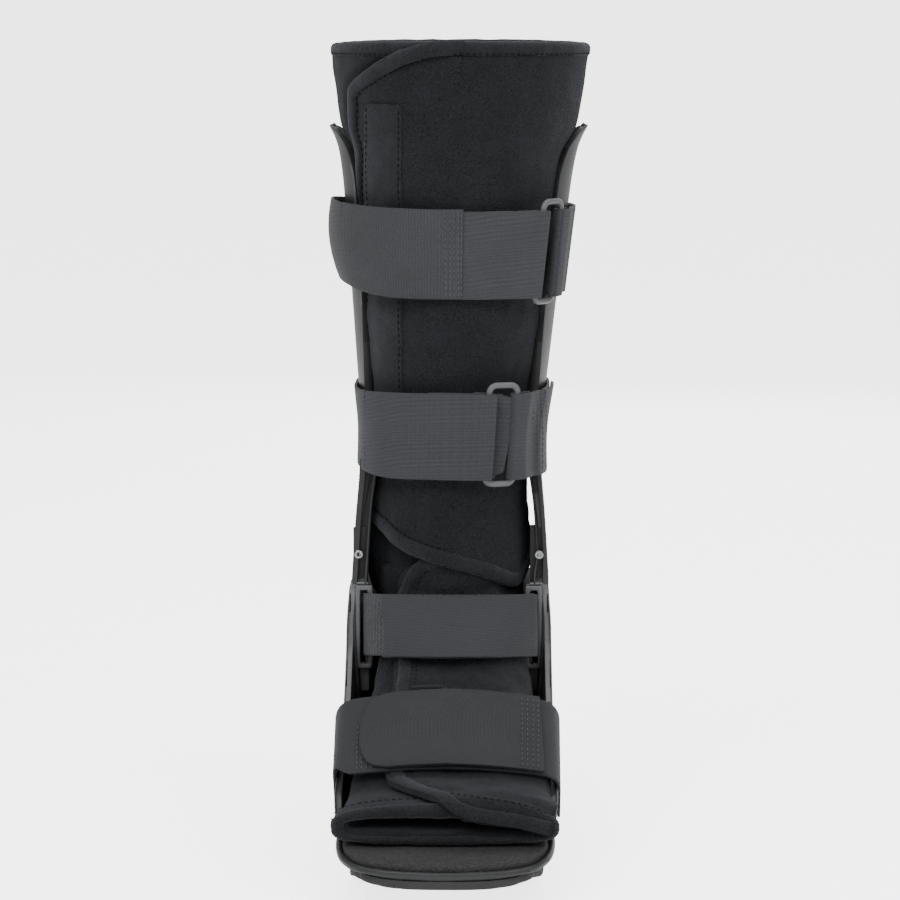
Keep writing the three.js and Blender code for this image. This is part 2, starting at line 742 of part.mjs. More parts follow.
// One calf strap with its ring and its short anchor strap. The strap and the anchor each fold round one
// long bar of the ring
function calfStrap(name, top, ringAngle, loop) {
  const low = top - calfWebbingWidth;
  const barLift = ringBar / 2 + clearance + webbing + clearance;
  const lay = webbing / 2;
  const perDegree = strapPoint(ringAngle + 1, top, barLift, loop)
    .distanceTo(strapPoint(ringAngle - 1, top, barLift, loop)) / 2;
  const halfRing = ringWidth / 2 / perDegree;
  const leftBar = ringAngle - halfRing;
  const rightBar = ringAngle + halfRing;

  // Plane of the ring, from the four places where its bars meet the webbing's edges
  const corners = [[leftBar, top], [rightBar, top], [leftBar, low], [rightBar, low]].map(
    ([degrees, z]) => strapPoint(degrees, z, barLift, loop),
  );
  const across = corners[1].clone().sub(corners[0]).add(corners[3]).sub(corners[2]).multiplyScalar(0.5);
  const halfWide = across.length() / 2;
  const upward = corners[0].clone().add(corners[1]).sub(corners[2]).sub(corners[3]).normalize();
  across.normalize();
  const facing = across.clone().cross(upward).normalize();
  const centre = corners.reduce((sum, p) => sum.add(p), new THREE.Vector3()).multiplyScalar(0.25);

  // Edge line of one strap: under end, fold round the bar, over end, then on along the loop
  const foldRadius = ringBar / 2 + clearance + webbing / 2;
  function edgeLine(z, bar, way, onward) {
    const rise = z === top ? calfWebbingWidth / 2 : -calfWebbingWidth / 2;
    const barPoint = centre.clone().addScaledVector(across, way * halfWide).addScaledVector(upward, rise);
    const fold = range(-90, 90, 30).map((turn) => (
      barPoint.clone()
        .addScaledVector(across, -way * foldRadius * Math.cos(turn * radians))
        .addScaledVector(facing, foldRadius * Math.sin(turn * radians))
    ));
    const mm = way / perDegree;
    const at = (distance, lift) => strapPoint(bar + distance * mm, z, lift, loop);
    return [
      at(14, lay), at(6, lay), ...fold,
      at(6, barLift + ringBar / 2 + webbing / 2), at(14, lay + webbing + 3 * clearance),
      at(22, lay + webbing * 0.6), ...onward.map(([degrees, lift]) => strapPoint(degrees, z, lift, loop)),
    ];
  }
  const mainStart = leftBar - 29 / perDegree;
  const mainOn = range(mainStart, rightBar + strapTuck - 360, ringStep).map((degrees) => [degrees, lay]);
  add(`calf_strap_${name}`, webbingBand(
    edgeLine(top, leftBar, -1, mainOn), edgeLine(low, leftBar, -1, mainOn), webbing,
  ), web);
  const anchorLay = lay + webbing + 2 * clearance;
  const anchorStart = rightBar + 29 / perDegree;
  const anchorOn = range(anchorStart, rightBar + anchorReach, ringStep).map((degrees) => [degrees, anchorLay]);
  add(`anchor_${name}`, webbingBand(
    edgeLine(top, rightBar, 1, anchorOn), edgeLine(low, rightBar, 1, anchorOn), webbing,
  ), web);

  // Ring: a rounded rectangle of round bar
  const halfTall = calfWebbingWidth / 2 + clearance + ringBar / 2 + 0.6;
  const rings = [];
  for (const [sx, sy, start] of [[1, 1, 0], [-1, 1, 90], [-1, -1, 180], [1, -1, 270]]) {
    for (const turn of [0, 45, 90]) {
      const a = (start + turn) * radians;
      const ux = sx * (halfWide - ringCorner) + ringCorner * Math.cos(a);
      const uy = sy * (halfTall - ringCorner) + ringCorner * Math.sin(a);
      const out = across.clone().multiplyScalar(Math.cos(a)).addScaledVector(upward, Math.sin(a));
      const middle = centre.clone().addScaledVector(across, ux).addScaledVector(upward, uy);
      rings.push(range(0, 300, 60).map((step) => (
        middle.clone()
          .addScaledVector(out, (ringBar / 2) * Math.cos(step * radians))
          .addScaledVector(facing, (ringBar / 2) * Math.sin(step * radians))
      )));
    }
  }
  add(`ring_${name}`, loft(rings, true), ringPlastic);
}
calfStrap("upper", upperStrapTop, upperRingAngle, { slack: upperStrapSlack, squareness: 0.85 });
calfStrap("lower", lowerStrapTop, lowerRingAngle, { slack: 0, squareness: 0.6 });

// Ankle strap: a loop strip through both slots, with the over strap on it
const ankleTopBow = 18;
const ankleLowBow = 39.5;
const ankleCrownTop = 2;
const ankleCrownLow = 7;
const slotBehind = 6;
const ankleStep = 7.5;

function anklePoint(degrees, low, offset) {
  const a = degrees * radians;
  const bow = (low ? ankleLowBow : ankleTopBow) + offset;
  const z = low
    ? ankleStrapTop - ankleStrapWidth + ankleCrownLow * Math.cos(a)
    : ankleStrapTop - slotTopDrop + ankleCrownTop * Math.cos(a);
  const half = slotCentre + offset * Math.abs(Math.sin(a));
  return new THREE.Vector3(half * Math.sin(a), flangeFront - 1.5 - bow * Math.cos(a), z);
}

function ankleLine(low) {
  const behind = (side) => [flangeBack + slotBehind, flangeFront + 1].map((y) => (
    anklePoint(side * 90, low, 0).setY(y)
  ));
  const across = range(-90, 90, ankleStep).map((degrees) => anklePoint(degrees, low, 0));
  return [...behind(-1), ...across, ...behind(1).reverse()];
}
add("ankle_loop", webbingBand(ankleLine(false), ankleLine(true), webbing), web);
const overAngles = range(-45, 75, ankleStep);
const overLift = webbing + 5 * clearance;
add("ankle_strap", webbingBand(
  overAngles.map((degrees) => anklePoint(degrees, false, overLift)),
  overAngles.map((degrees) => anklePoint(degrees, true, overLift)),
  webbing,
), web);

// Forefoot strap: across the instep, then down and back outside the shell's ears. Columns: share of the
// outer half width, and how far down and back as a share of the webbing's width
const forefootRows = [
  { out: 0, down: 0 },
  { out: 0.34, down: 0.02 },
  { out: 0.64, down: 0.07 },
  { out: 0.83, down: 0.1 },
  { out: 0.95, down: 0.18 },
  { out: 1, down: 0.32 },
  { out: 1.005, down: 0.62 },
  { out: 1.005, down: 0.9 },
];
const forefootHalf = soleWidth / 2 * 1.015 + clearance + webbing / 2 + 0.2;
const forefootTaper = 0.05;
const forefootSlope = 42 * radians;

function forefootLine(rows, low, lift) {
  const across = low ? forefootWebbingWidth : 0;
  return rows.map(([out, down]) => {
    const taper = low ? 0 : forefootTaper * (1 - ease(0, 0.5, down));
    const half = (forefootHalf * (1 - taper) + lift) * out;
    const fall = down * forefootWebbingWidth - lift * (1 - Math.abs(out)) - lift;
    const y = -forefootStrapFront - across * Math.cos(forefootSlope) + fall * Math.sin(forefootSlope);
    const z = forefootStrapTop - across * Math.sin(forefootSlope) - fall * Math.cos(forefootSlope);
    return new THREE.Vector3(half, y, z);
  });
}
const forefootPath = [
  ...forefootRows.slice(1).reverse().map((row) => [-row.out, row.down]),
  ...forefootRows.map((row) => [row.out, row.down]),
];
add("forefoot_tab", webbingBand(
  forefootLine(forefootPath, false, 0), forefootLine(forefootPath, true, 0), webbing,
), web);
const forefootOver = forefootPath.filter(([out]) => out > -0.84 && out < 0.84);
const forefootLift = webbing + clearance;
add("forefoot_strap", webbingBand(
  forefootLine(forefootOver, false, forefootLift), forefootLine(forefootOver, true, forefootLift), webbing,
), web);

export default boot;
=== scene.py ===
# Tall medical walking boot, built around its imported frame. Tables and settings are in millimetres
import math
import bpy
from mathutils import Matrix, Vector, noise
from mathutils.bvhtree import BVHTree


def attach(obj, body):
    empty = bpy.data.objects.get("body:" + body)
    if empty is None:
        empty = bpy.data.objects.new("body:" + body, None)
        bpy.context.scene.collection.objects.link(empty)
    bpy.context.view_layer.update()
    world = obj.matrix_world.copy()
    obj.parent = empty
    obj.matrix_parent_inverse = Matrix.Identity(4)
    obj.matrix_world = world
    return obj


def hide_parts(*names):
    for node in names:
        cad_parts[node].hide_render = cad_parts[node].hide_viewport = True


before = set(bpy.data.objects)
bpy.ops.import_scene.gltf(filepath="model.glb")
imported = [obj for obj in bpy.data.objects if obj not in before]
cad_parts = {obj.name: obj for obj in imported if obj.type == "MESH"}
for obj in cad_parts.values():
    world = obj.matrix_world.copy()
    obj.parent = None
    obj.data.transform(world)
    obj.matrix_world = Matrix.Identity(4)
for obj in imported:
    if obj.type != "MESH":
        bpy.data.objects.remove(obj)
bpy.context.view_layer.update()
mm = 0.001


# Working helpers


def clearSelection():
    if bpy.context.object and bpy.context.object.mode != "OBJECT":
        bpy.ops.object.mode_set(mode="OBJECT")
    bpy.ops.object.select_all(action="DESELECT")


def makeActive(piece):
    clearSelection()
    piece.select_set(True)
    bpy.context.view_layer.objects.active = piece


def nameIt(piece, name):
    piece.name = name
    piece.data.name = name
    return piece


# Smooth value of one column of a table at a place; the first column holds the places
def smoothAt(rows, place, column):
    if place <= rows[0][0]:
        return rows[0][column]
    if place >= rows[-1][0]:
        return rows[-1][column]
    i = 1
    while place > rows[i][0]:
        i += 1
    a, b = rows[i - 1], rows[i]
    before, after = rows[max(0, i - 2)], rows[min(len(rows) - 1, i + 1)]
    span = b[0] - a[0]
    t = (place - a[0]) / span
    slopeA = (b[column] - before[column]) / (b[0] - before[0]) * span
    slopeB = (after[column] - a[column]) / (after[0] - a[0]) * span
    return ((2 * t ** 3 - 3 * t ** 2 + 1) * a[column] + (t ** 3 - 2 * t ** 2 + t) * slopeA
            + (3 * t ** 2 - 2 * t ** 3) * b[column] + (t ** 3 - t ** 2) * slopeB)


def ease(a, b, value):
    t = min(1, max(0, (value - a) / (b - a)))
    return t * t * (3 - 2 * t)


def mix(a, b, t):
    return a + (b - a) * t


# The value's power with the value's own sign
def signedPower(value, power):
    return math.copysign(abs(value) ** power, value)


def lineLength(points):
    return sum((b - a).length for a, b in zip(points, points[1:]))


# One pass of smoothing along a line of points; its ends stay
def softenLine(line):
    line[1:-1] = [b * 0.5 + (a + c) * 0.25 for a, b, c in zip(line, line[1:], line[2:])]


# Place between two limits where the x of a rising line has the wanted value
def placeForX(xAt, wanted, low, high):
    for step in range(30):
        middle = (low + high) / 2
        if xAt(middle) < wanted:
            low = middle
        else:
            high = middle
    return low


# Length of a surface across (u) and up (v), for a pattern that keeps its real size
def surfaceSize(placeAt, steps=24):
    across = [Vector(placeAt(i / steps, 0.5)) for i in range(steps + 1)]
    upward = [Vector(placeAt(0.5, i / steps)) for i in range(steps + 1)]
    return lineLength(across), lineLength(upward)


# A grid whose points are laid on a surface; u and v run from 0 to 1
def layGrid(name, placeAt, columns, rows, closed=False, flip=False):
    clearSelection()
    bpy.ops.mesh.primitive_grid_add(x_subdivisions=columns, y_subdivisions=rows, size=1, calc_uvs=True)
    piece = nameIt(bpy.context.object, name)
    across, upward = surfaceSize(placeAt)
    for point in piece.data.vertices:
        u = min(1, max(0, point.co.x + 0.5))
        v = min(1, max(0, point.co.y + 0.5))
        point.co = Vector(placeAt(u, v)) * mm
    for corner in piece.data.uv_layers.active.data:
        corner.uv = (corner.uv[0] * across * mm, corner.uv[1] * upward * mm)
    bpy.ops.object.mode_set(mode="EDIT")
    bpy.ops.mesh.select_all(action="SELECT")
    if closed:
        bpy.ops.mesh.remove_doubles(threshold=2e-6)
    if flip:
        bpy.ops.mesh.flip_normals()
    bpy.ops.object.mode_set(mode="OBJECT")
    return piece


def applyAll(piece):
    makeActive(piece)
    for modifier in list(piece.modifiers):
        bpy.ops.object.modifier_apply(modifier=modifier.name)


def addModifier(piece, kind, **settings):
    modifier = piece.modifiers.new(kind.title(), kind)
    for key, value in settings.items():
        setattr(modifier, key, value)
    return modifier


# Thickness behind (side -1), in front of (1) or about (0) the surface, with rounded edges
def thicken(piece, thickness, side, edge, segments):
    addModifier(piece, "SOLIDIFY", thickness=thickness * mm, offset=side, use_even_offset=True)
    addModifier(piece, "BEVEL", width=edge * mm, segments=segments, limit_method="ANGLE",
                angle_limit=math.radians(50))
    applyAll(piece)


# Soft unevenness: points move along their normals by smooth noise
def crumple(piece, depth, size, seed, where=None):
    normals = [point.normal.copy() for point in piece.data.vertices]
    for point, normal in zip(piece.data.vertices, normals):
        place = point.co / mm
        share = where(place) if where else 1
        if share:
            value = noise.noise(place / size + Vector((seed, seed * 0.7, -seed)))
            point.co += normal * value * depth * share * mm


def turnOutwards(piece):
    makeActive(piece)
    bpy.ops.object.mode_set(mode="EDIT")
    bpy.ops.mesh.select_all(action="SELECT")
    bpy.ops.mesh.normals_make_consistent(inside=False)
    bpy.ops.object.mode_set(mode="OBJECT")


# Fills the open ends of a tube
def closeEnds(piece):
    makeActive(piece)
    bpy.ops.object.mode_set(mode="EDIT")
    bpy.ops.mesh.select_all(action="SELECT")
    bpy.ops.mesh.fill_holes(sides=0)
    turnOutwards(piece)


# Box between two corners, in millimetres
def boxBetween(name, low, high):
    clearSelection()
    bpy.ops.mesh.primitive_cube_add(size=1)
    box = nameIt(bpy.context.object, name)
    for point in box.data.vertices:
        point.co = Vector([mix(a, b, c + 0.5) for a, b, c in zip(low, high, point.co)]) * mm
    return box


# Box on one side of the boot, between an inner and an outer distance from its middle
def sideBox(name, side, inner, outer, front, back, low, high):
    left, right = sorted((side * inner, side * outer))
    return boxBetween(name, (left, front, low), (right, back, high))


def roundEdges(box, edge):
    addModifier(box, "BEVEL", width=edge * mm, segments=3, limit_method="ANGLE")
    applyAll(box)
    return box


# Tape or cord along a path: width across, height outwards from the surface, flat side down
def tapeAlong(name, path, outward, width, height, sink=0.35):
    last = len(path) - 1

    def placeAt(u, v):
        i = min(last, round(v * last))
        along = (path[min(i + 1, last)] - path[max(i - 1, 0)]).normalized()
        up = outward[i] - along * outward[i].dot(along)
        up.normalize()
        aside = along.cross(up)
        turn = u * 2 * math.pi
        rise = math.sin(turn)
        lift = height * (abs(rise) ** 0.7) * (1 if rise > 0 else -sink)
        return path[i] + aside * (width / 2 * math.cos(turn)) + up * lift
    piece = layGrid(name, placeAt, 10, last, closed=True)
    closeEnds(piece)
    return piece


# Points at even steps along a path, each with its direction and its outward normal
def evenSteps(path, outward, step, start=0):
    places = []
    travelled = 0
    wanted = start
    for i in range(len(path) - 1):
        reach = (path[i + 1] - path[i]).length
        while reach > 0 and wanted <= travelled + reach:
            t = (wanted - travelled) / reach
            places.append((path[i].lerp(path[i + 1], t), (path[i + 1] - path[i]).normalized(),
                           outward[i].lerp(outward[i + 1], t).normalized()))
            wanted += step
        travelled += reach
    return places


# One thread stitch, copied to every place in a list of runs; all copies are one mesh
def stitchRuns(name, runs, length, thick, gap):
    lift = 0.1
    clearSelection()
    bpy.ops.mesh.primitive_uv_sphere_add(segments=6, ring_count=4, radius=1)
    model = bpy.context.object
    shape = [point.co.copy() for point in model.data.vertices]
    sides = [tuple(face.vertices) for face in model.data.polygons]
    bpy.data.objects.remove(model)
    points, faces = [], []
    for path, outward in runs:
        for place, along, out in evenSteps(path, outward, length + gap, start=length * 0.6):
            aside = along.cross(out).normalized()
            first = len(points)
            for s in shape:
                spot = (place + along * (s.x * length / 2) + aside * (s.y * thick / 2)
                        + out * (s.z * thick / 2 + lift))
                points.append(spot * mm)
            faces.extend(tuple(first + k for k in side) for side in sides)
    mesh = bpy.data.meshes.new(name)
    mesh.from_pydata(points, [], faces)
    piece = bpy.data.objects.new(name, mesh)
    bpy.context.scene.collection.objects.link(piece)
    turnOutwards(piece)
    return piece


def joinPieces(name, pieces):
    makeActive(pieces[0])
    for piece in pieces:
        piece.select_set(True)
    bpy.ops.object.join()
    return nameIt(bpy.context.object, name)


# Shading, material, material slot, body, and the nodes that the piece stands for
def finishPiece(piece, material, replaces=(), sharp=40):
    makeActive(piece)
    bpy.ops.object.transform_apply(location=True, rotation=True, scale=True)
    bpy.ops.object.shade_smooth_by_angle(angle=math.radians(sharp))
    applyAll(piece)
    piece.data.materials.clear()
    piece.data.materials.append(material)
    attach(piece, "root")
    if replaces:
        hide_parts(*replaces)


# Camera at the photograph's angle, pale floor and soft light
cameraSettings = {"place": (28.5, -1847.8, 463), "tip": 7.445, "turn": 0.015, "lens": 134.96}
cameraData = bpy.data.cameras.new("camera")
cameraData.lens = cameraSettings["lens"]
cameraData.sensor_width = 36
cameraData.clip_end = 50
camera = bpy.data.objects.new("camera", cameraData)
camera.location = Vector(cameraSettings["place"]) * mm
camera.rotation_euler = (math.radians(90 - cameraSettings["tip"]), 0, cameraSettings["turn"])
bpy.context.scene.collection.objects.link(camera)
bpy.context.scene.camera = camera

lightSettings = {
    "key": {"place": (-0.8, -1.5, 1.9), "size": 1.3, "power": 46},
    "fill": {"place": (1.3, -1.3, 1.6), "size": 1.5, "power": 26},
    "top": {"place": (0.1, 0.2, 1.7), "size": 1.2, "power": 22},
    "back": {"place": (0.4, 1.9, 1.0), "size": 1.6, "power": 16},
}
for lightName, light in lightSettings.items():
    lampData = bpy.data.lights.new(lightName, "AREA")
    lampData.size = light["size"]
    lampData.energy = light["power"]
    lamp = bpy.data.objects.new(lightName, lampData)
    lamp.location = light["place"]
    toBoot = Vector((0, 0, 0.2)) - Vector(light["place"])
    lamp.rotation_euler = toBoot.to_track_quat("-Z", "Y").to_euler()
    bpy.context.scene.collection.objects.link(lamp)

# What the camera sees of the world and the floor is brighter than the light that they give
roomSettings = {"worldGlow": (0.62, 3.75), "floorGlow": (0.45, 3.1), "floorSize": 60,
                "floorPlace": -0.0004}


def glowForCamera(tree, glowRange, strength):
    seen = tree.nodes.new("ShaderNodeLightPath")
    glow = tree.nodes.new("ShaderNodeMapRange")
    glow.inputs["To Min"].default_value, glow.inputs["To Max"].default_value = glowRange
    tree.links.new(seen.outputs["Is Camera Ray"], glow.inputs["Value"])
    tree.links.new(glow.outputs["Result"], strength)


world = bpy.data.worlds.new("paleRoom")
bpy.context.scene.world = world
world.use_nodes = True
backdrop = world.node_tree.nodes["Background"]
backdrop.inputs["Color"].default_value = (0.95, 0.96, 0.97, 1)
glowForCamera(world.node_tree, roomSettings["worldGlow"], backdrop.inputs["Strength"])

clearSelection()
bpy.ops.mesh.primitive_plane_add(size=roomSettings["floorSize"],
                                 location=(0, 0, roomSettings["floorPlace"]))
floor = nameIt(bpy.context.object, "floor")
bpy.ops.object.transform_apply(location=True)
floorMaterial = bpy.data.materials.new("paleFloor")
floorMaterial.use_nodes = True
floorShader = floorMaterial.node_tree.nodes["Principled BSDF"]
floorShader.inputs["Base Color"].default_value = (0.93, 0.93, 0.935, 1)
floorShader.inputs["Roughness"].default_value = 0.8
floorShader.inputs["Emission Color"].default_value = (1, 1, 1, 1)
glowForCamera(floorMaterial.node_tree, roomSettings["floorGlow"], floorShader.inputs["Emission Strength"])
floor.data.materials.append(floorMaterial)
print("camera, light and floor are set")


# Shared surface effects as node groups


def startGroup(name, inputs, outputs):
    group = bpy.data.node_groups.new(name, "ShaderNodeTree")
    for socket, value in inputs.items():
        made = group.interface.new_socket(name=socket, in_out="INPUT", socket_type="NodeSocketFloat")
        made.default_value = value
    for socket in outputs:
        group.interface.new_socket(name=socket, in_out="OUTPUT", socket_type="NodeSocketFloat")
    return group, group.nodes.new("NodeGroupInput"), group.nodes.new("NodeGroupOutput")


def mathNode(tree, operation, first, second=None, third=None, clamp=False):
    node = tree.nodes.new("ShaderNodeMath")
    node.operation = operation
    node.use_clamp = clamp
    for socket, value in zip(node.inputs, (first, second, third)):
        if value is None:
            continue
        if isinstance(value, (int, float)):
            socket.default_value = value
        else:
            tree.links.new(value, socket)
    return node.outputs[0]


def add(tree, first, second):
    return mathNode(tree, "ADD", first, second)


def multiply(tree, first, second):
    return mathNode(tree, "MULTIPLY", first, second)


def noiseNode(tree, vector, scale, detail=3, roughness=0.55):
    node = tree.nodes.new("ShaderNodeTexNoise")
    node.inputs["Detail"].default_value = detail
    node.inputs["Roughness"].default_value = roughness
    tree.links.new(vector, node.inputs["Vector"])
    if isinstance(scale, (int, float)):
        node.inputs["Scale"].default_value = scale
    else:
        tree.links.new(scale, node.inputs["Scale"])
    return node.outputs["Fac"]


def objectPlace(tree):
    return tree.nodes.new("ShaderNodeTexCoord").outputs["Object"]


# Fine moulded grain with broad soft mottling
grainGroup, grainIn, grainOut = startGroup("mouldedGrain", {"Scale": 1800, "Mottle": 28},
                                           ["Height", "Shade"])
place = objectPlace(grainGroup)
grainGroup.links.new(noiseNode(grainGroup, place, grainIn.outputs["Scale"], 2), grainOut.inputs["Height"])
grainGroup.links.new(noiseNode(grainGroup, place, grainIn.outputs["Mottle"], 4), grainOut.inputs["Shade"])

# Rubbed edges: where the surface turns sharply outwards, broken up by noise
wearGroup, wearIn, wearOut = startGroup("rubbedEdges", {"Start": 0.53, "Spread": 0.1}, ["Mask"])
shape = wearGroup.nodes.new("ShaderNodeNewGeometry")
rise = mathNode(wearGroup, "SUBTRACT", shape.outputs["Pointiness"], wearIn.outputs["Start"])
rise = mathNode(wearGroup, "DIVIDE", rise, wearIn.outputs["Spread"], clamp=True)
broken = noiseNode(wearGroup, objectPlace(wearGroup), 240, 4)
wearGroup.links.new(mathNode(wearGroup, "MULTIPLY", rise, broken, clamp=True), wearOut.inputs["Mask"])

# Brushed loop pile: short fuzzy clumps over soft waves
pileGroup, pileIn, pileOut = startGroup("loopPile", {"Clump": 900, "Wave": 60}, ["Height", "Shade"])
place = objectPlace(pileGroup)
clumps = noiseNode(pileGroup, place, pileIn.outputs["Clump"], 4, 0.7)
waves = noiseNode(pileGroup, place, pileIn.outputs["Wave"], 3)
loops = pileGroup.nodes.new("ShaderNodeTexVoronoi")
pileGroup.links.new(place, loops.inputs["Vector"])
loopScale = multiply(pileGroup, pileIn.outputs["Clump"], 1.3)
pileGroup.links.new(loopScale, loops.inputs["Scale"])
height = add(pileGroup, clumps, multiply(pileGroup, loops.outputs["Distance"], 0.5))
height = add(pileGroup, height, multiply(pileGroup, waves, 0.4))
pileGroup.links.new(height, pileOut.inputs["Height"])
fleck = add(pileGroup, multiply(pileGroup, clumps, 0.9), multiply(pileGroup, waves, 0.15))
pileGroup.links.new(fleck, pileOut.inputs["Shade"])

# Woven tape on the piece's own map: ribs along and across, of given widths in millimetres
weaveGroup, weaveIn, weaveOut = startGroup(
    "wovenRibs", {"Rib along": 1.0, "Rib across": 0.8, "Slant": 0.0, "Even": 0.5}, ["Height", "Shade"])
mapPlace = weaveGroup.nodes.new("ShaderNodeTexCoord").outputs["UV"]
split = weaveGroup.nodes.new("ShaderNodeSeparateXYZ")
weaveGroup.links.new(mapPlace, split.inputs[0])
slant = multiply(weaveGroup, split.outputs["X"], weaveIn.outputs["Slant"])
slanted = add(weaveGroup, split.outputs["Y"], slant)
ribs = []
for coordinate, width in ((slanted, "Rib across"), (split.outputs["X"], "Rib along")):
    count = mathNode(weaveGroup, "DIVIDE", coordinate, weaveIn.outputs[width])
    wave = mathNode(weaveGroup, "SINE", multiply(weaveGroup, count, 2 * math.pi * 1000))
    ribs.append(mathNode(weaveGroup, "MULTIPLY_ADD", wave, 0.5, 0.5))
even = weaveIn.outputs["Even"]
lessEven = mathNode(weaveGroup, "SUBTRACT", 1, even)
woven = add(weaveGroup, multiply(weaveGroup, ribs[0], even), multiply(weaveGroup, ribs[1], lessEven))
threads = noiseNode(weaveGroup, objectPlace(weaveGroup), 1150, 3, 0.75)
patches = noiseNode(weaveGroup, objectPlace(weaveGroup), 45, 3)
height = add(weaveGroup, woven, multiply(weaveGroup, threads, 0.35))
weaveGroup.links.new(height, weaveOut.inputs["Height"])
shade = add(weaveGroup, multiply(weaveGroup, woven, 0.2), multiply(weaveGroup, threads, 0.6))
shade = add(weaveGroup, shade, multiply(weaveGroup, patches, 0.22))
weaveGroup.links.new(shade, weaveOut.inputs["Shade"])

# Pale lint and dust in sparse specks
lintGroup, lintIn, lintOut = startGroup("lintSpecks", {"Scale": 260, "Size": 0.05}, ["Mask"])
place = objectPlace(lintGroup)
specks = lintGroup.nodes.new("ShaderNodeTexVoronoi")
lintGroup.links.new(place, specks.inputs["Vector"])
lintGroup.links.new(lintIn.outputs["Scale"], specks.inputs["Scale"])
near = mathNode(lintGroup, "LESS_THAN", specks.outputs["Distance"], lintIn.outputs["Size"])
few = mathNode(lintGroup, "GREATER_THAN", noiseNode(lintGroup, place, 35, 2), 0.6)
lintGroup.links.new(mathNode(lintGroup, "MULTIPLY", near, few), lintOut.inputs["Mask"])


def placeGroup(tree, group, **values):
    node = tree.nodes.new("ShaderNodeGroup")
    node.node_tree = group
    for socket, value in values.items():
        node.inputs[socket.replace("_", " ")].default_value = value
    return node


def shadeBetween(tree, amount, dark, light, low=0.3, high=0.7):
    ramp = tree.nodes.new("ShaderNodeValToRGB")
    ramp.color_ramp.elements[0].position = low
    ramp.color_ramp.elements[1].position = high
    ramp.color_ramp.elements[0].color = (*dark, 1)
    ramp.color_ramp.elements[1].color = (*light, 1)
    tree.links.new(amount, ramp.inputs["Fac"])
    return ramp.outputs["Color"]


def blendColour(tree, amount, under, over):
    node = tree.nodes.new("ShaderNodeMix")
    node.data_type = "RGBA"
    tree.links.new(amount, node.inputs["Factor"])
    tree.links.new(under, node.inputs["A"])
    node.inputs["B"].default_value = (*over, 1)
    return node.outputs["Result"]


def bumpFrom(tree, shader, height, distance, strength=1.0):
    bump = tree.nodes.new("ShaderNodeBump")
    bump.inputs["Strength"].default_value = strength
    bump.inputs["Distance"].default_value = distance * mm
    tree.links.new(height, bump.inputs["Height"])
    tree.links.new(bump.outputs["Normal"], shader.inputs["Normal"])


def startMaterial(name):
    material = bpy.data.materials.new(name)
    material.use_nodes = True
    return material, material.node_tree, material.node_tree.nodes["Principled BSDF"]


def mouldedPlastic(name, dark, light, rubbed, roughness, grain=1800, depth=0.05, wear=0.55):
    material, tree, shader = startMaterial(name)
    texture = placeGroup(tree, grainGroup, Scale=grain, Mottle=30)
    colour = shadeBetween(tree, texture.outputs["Shade"], dark, light)
    edges = placeGroup(tree, wearGroup, Start=wear)
    tree.links.new(blendColour(tree, edges.outputs["Mask"], colour, rubbed), shader.inputs["Base Color"])
    rough = mathNode(tree, "MULTIPLY_ADD", texture.outputs["Shade"], 0.22, roughness - 0.11)
    tree.links.new(rough, shader.inputs["Roughness"])
    shader.inputs["Specular IOR Level"].default_value = 0.27
    bumpFrom(tree, shader, texture.outputs["Height"], depth)
    return material


def pileFabric(name, dark, light, clump=1500, depth=0.55, sheen=0.075):
    material, tree, shader = startMaterial(name)
    texture = placeGroup(tree, pileGroup, Clump=clump, Wave=55)
    colour = shadeBetween(tree, texture.outputs["Shade"], dark, light, 0.39, 0.65)
    lint = placeGroup(tree, lintGroup, Scale=230, Size=0.045)
    specked = blendColour(tree, lint.outputs["Mask"], colour, (0.05, 0.055, 0.07))
    tree.links.new(specked, shader.inputs["Base Color"])
    shader.inputs["Roughness"].default_value = 0.95
    shader.inputs["Specular IOR Level"].default_value = 0.12
    shader.inputs["Sheen Weight"].default_value = sheen
    shader.inputs["Sheen Roughness"].default_value = 0.45
    shader.inputs["Sheen Tint"].default_value = (0.8, 0.84, 0.9, 1)
    bumpFrom(tree, shader, texture.outputs["Height"], depth)
    return material


def wovenTape(name, dark, light, along, across, slant=0.0, even=0.5, depth=0.25, sheen=0.05,
              roughness=0.8):
    material, tree, shader = startMaterial(name)
    texture = placeGroup(tree, weaveGroup, Rib_along=along, Rib_across=across, Slant=slant, Even=even)
    colour = shadeBetween(tree, texture.outputs["Shade"], dark, light, 0.3, 0.75)
    tree.links.new(colour, shader.inputs["Base Color"])
    shader.inputs["Roughness"].default_value = roughness
    shader.inputs["Specular IOR Level"].default_value = 0.3
    shader.inputs["Sheen Weight"].default_value = sheen
    bumpFrom(tree, shader, texture.outputs["Height"], depth)
    return material


def crumbFoam(name):
    material, tree, shader = startMaterial(name)
    place = objectPlace(tree)
    crumbs = tree.nodes.new("ShaderNodeTexVoronoi")
    crumbs.inputs["Scale"].default_value = 1150
    tree.links.new(place, crumbs.inputs["Vector"])
    tone = tree.nodes.new("ShaderNodeSeparateColor")
    tree.links.new(crumbs.outputs["Color"], tone.inputs[0])
    colour = shadeBetween(tree, tone.outputs["Red"], (0.0068, 0.0068, 0.0071), (0.0185, 0.0185, 0.0191),
                          0.35, 1.0)
    tree.links.new(colour, shader.inputs["Base Color"])
    shader.inputs["Roughness"].default_value = 0.9
    bumpFrom(tree, shader, crumbs.outputs["Distance"], 0.45)
    return material


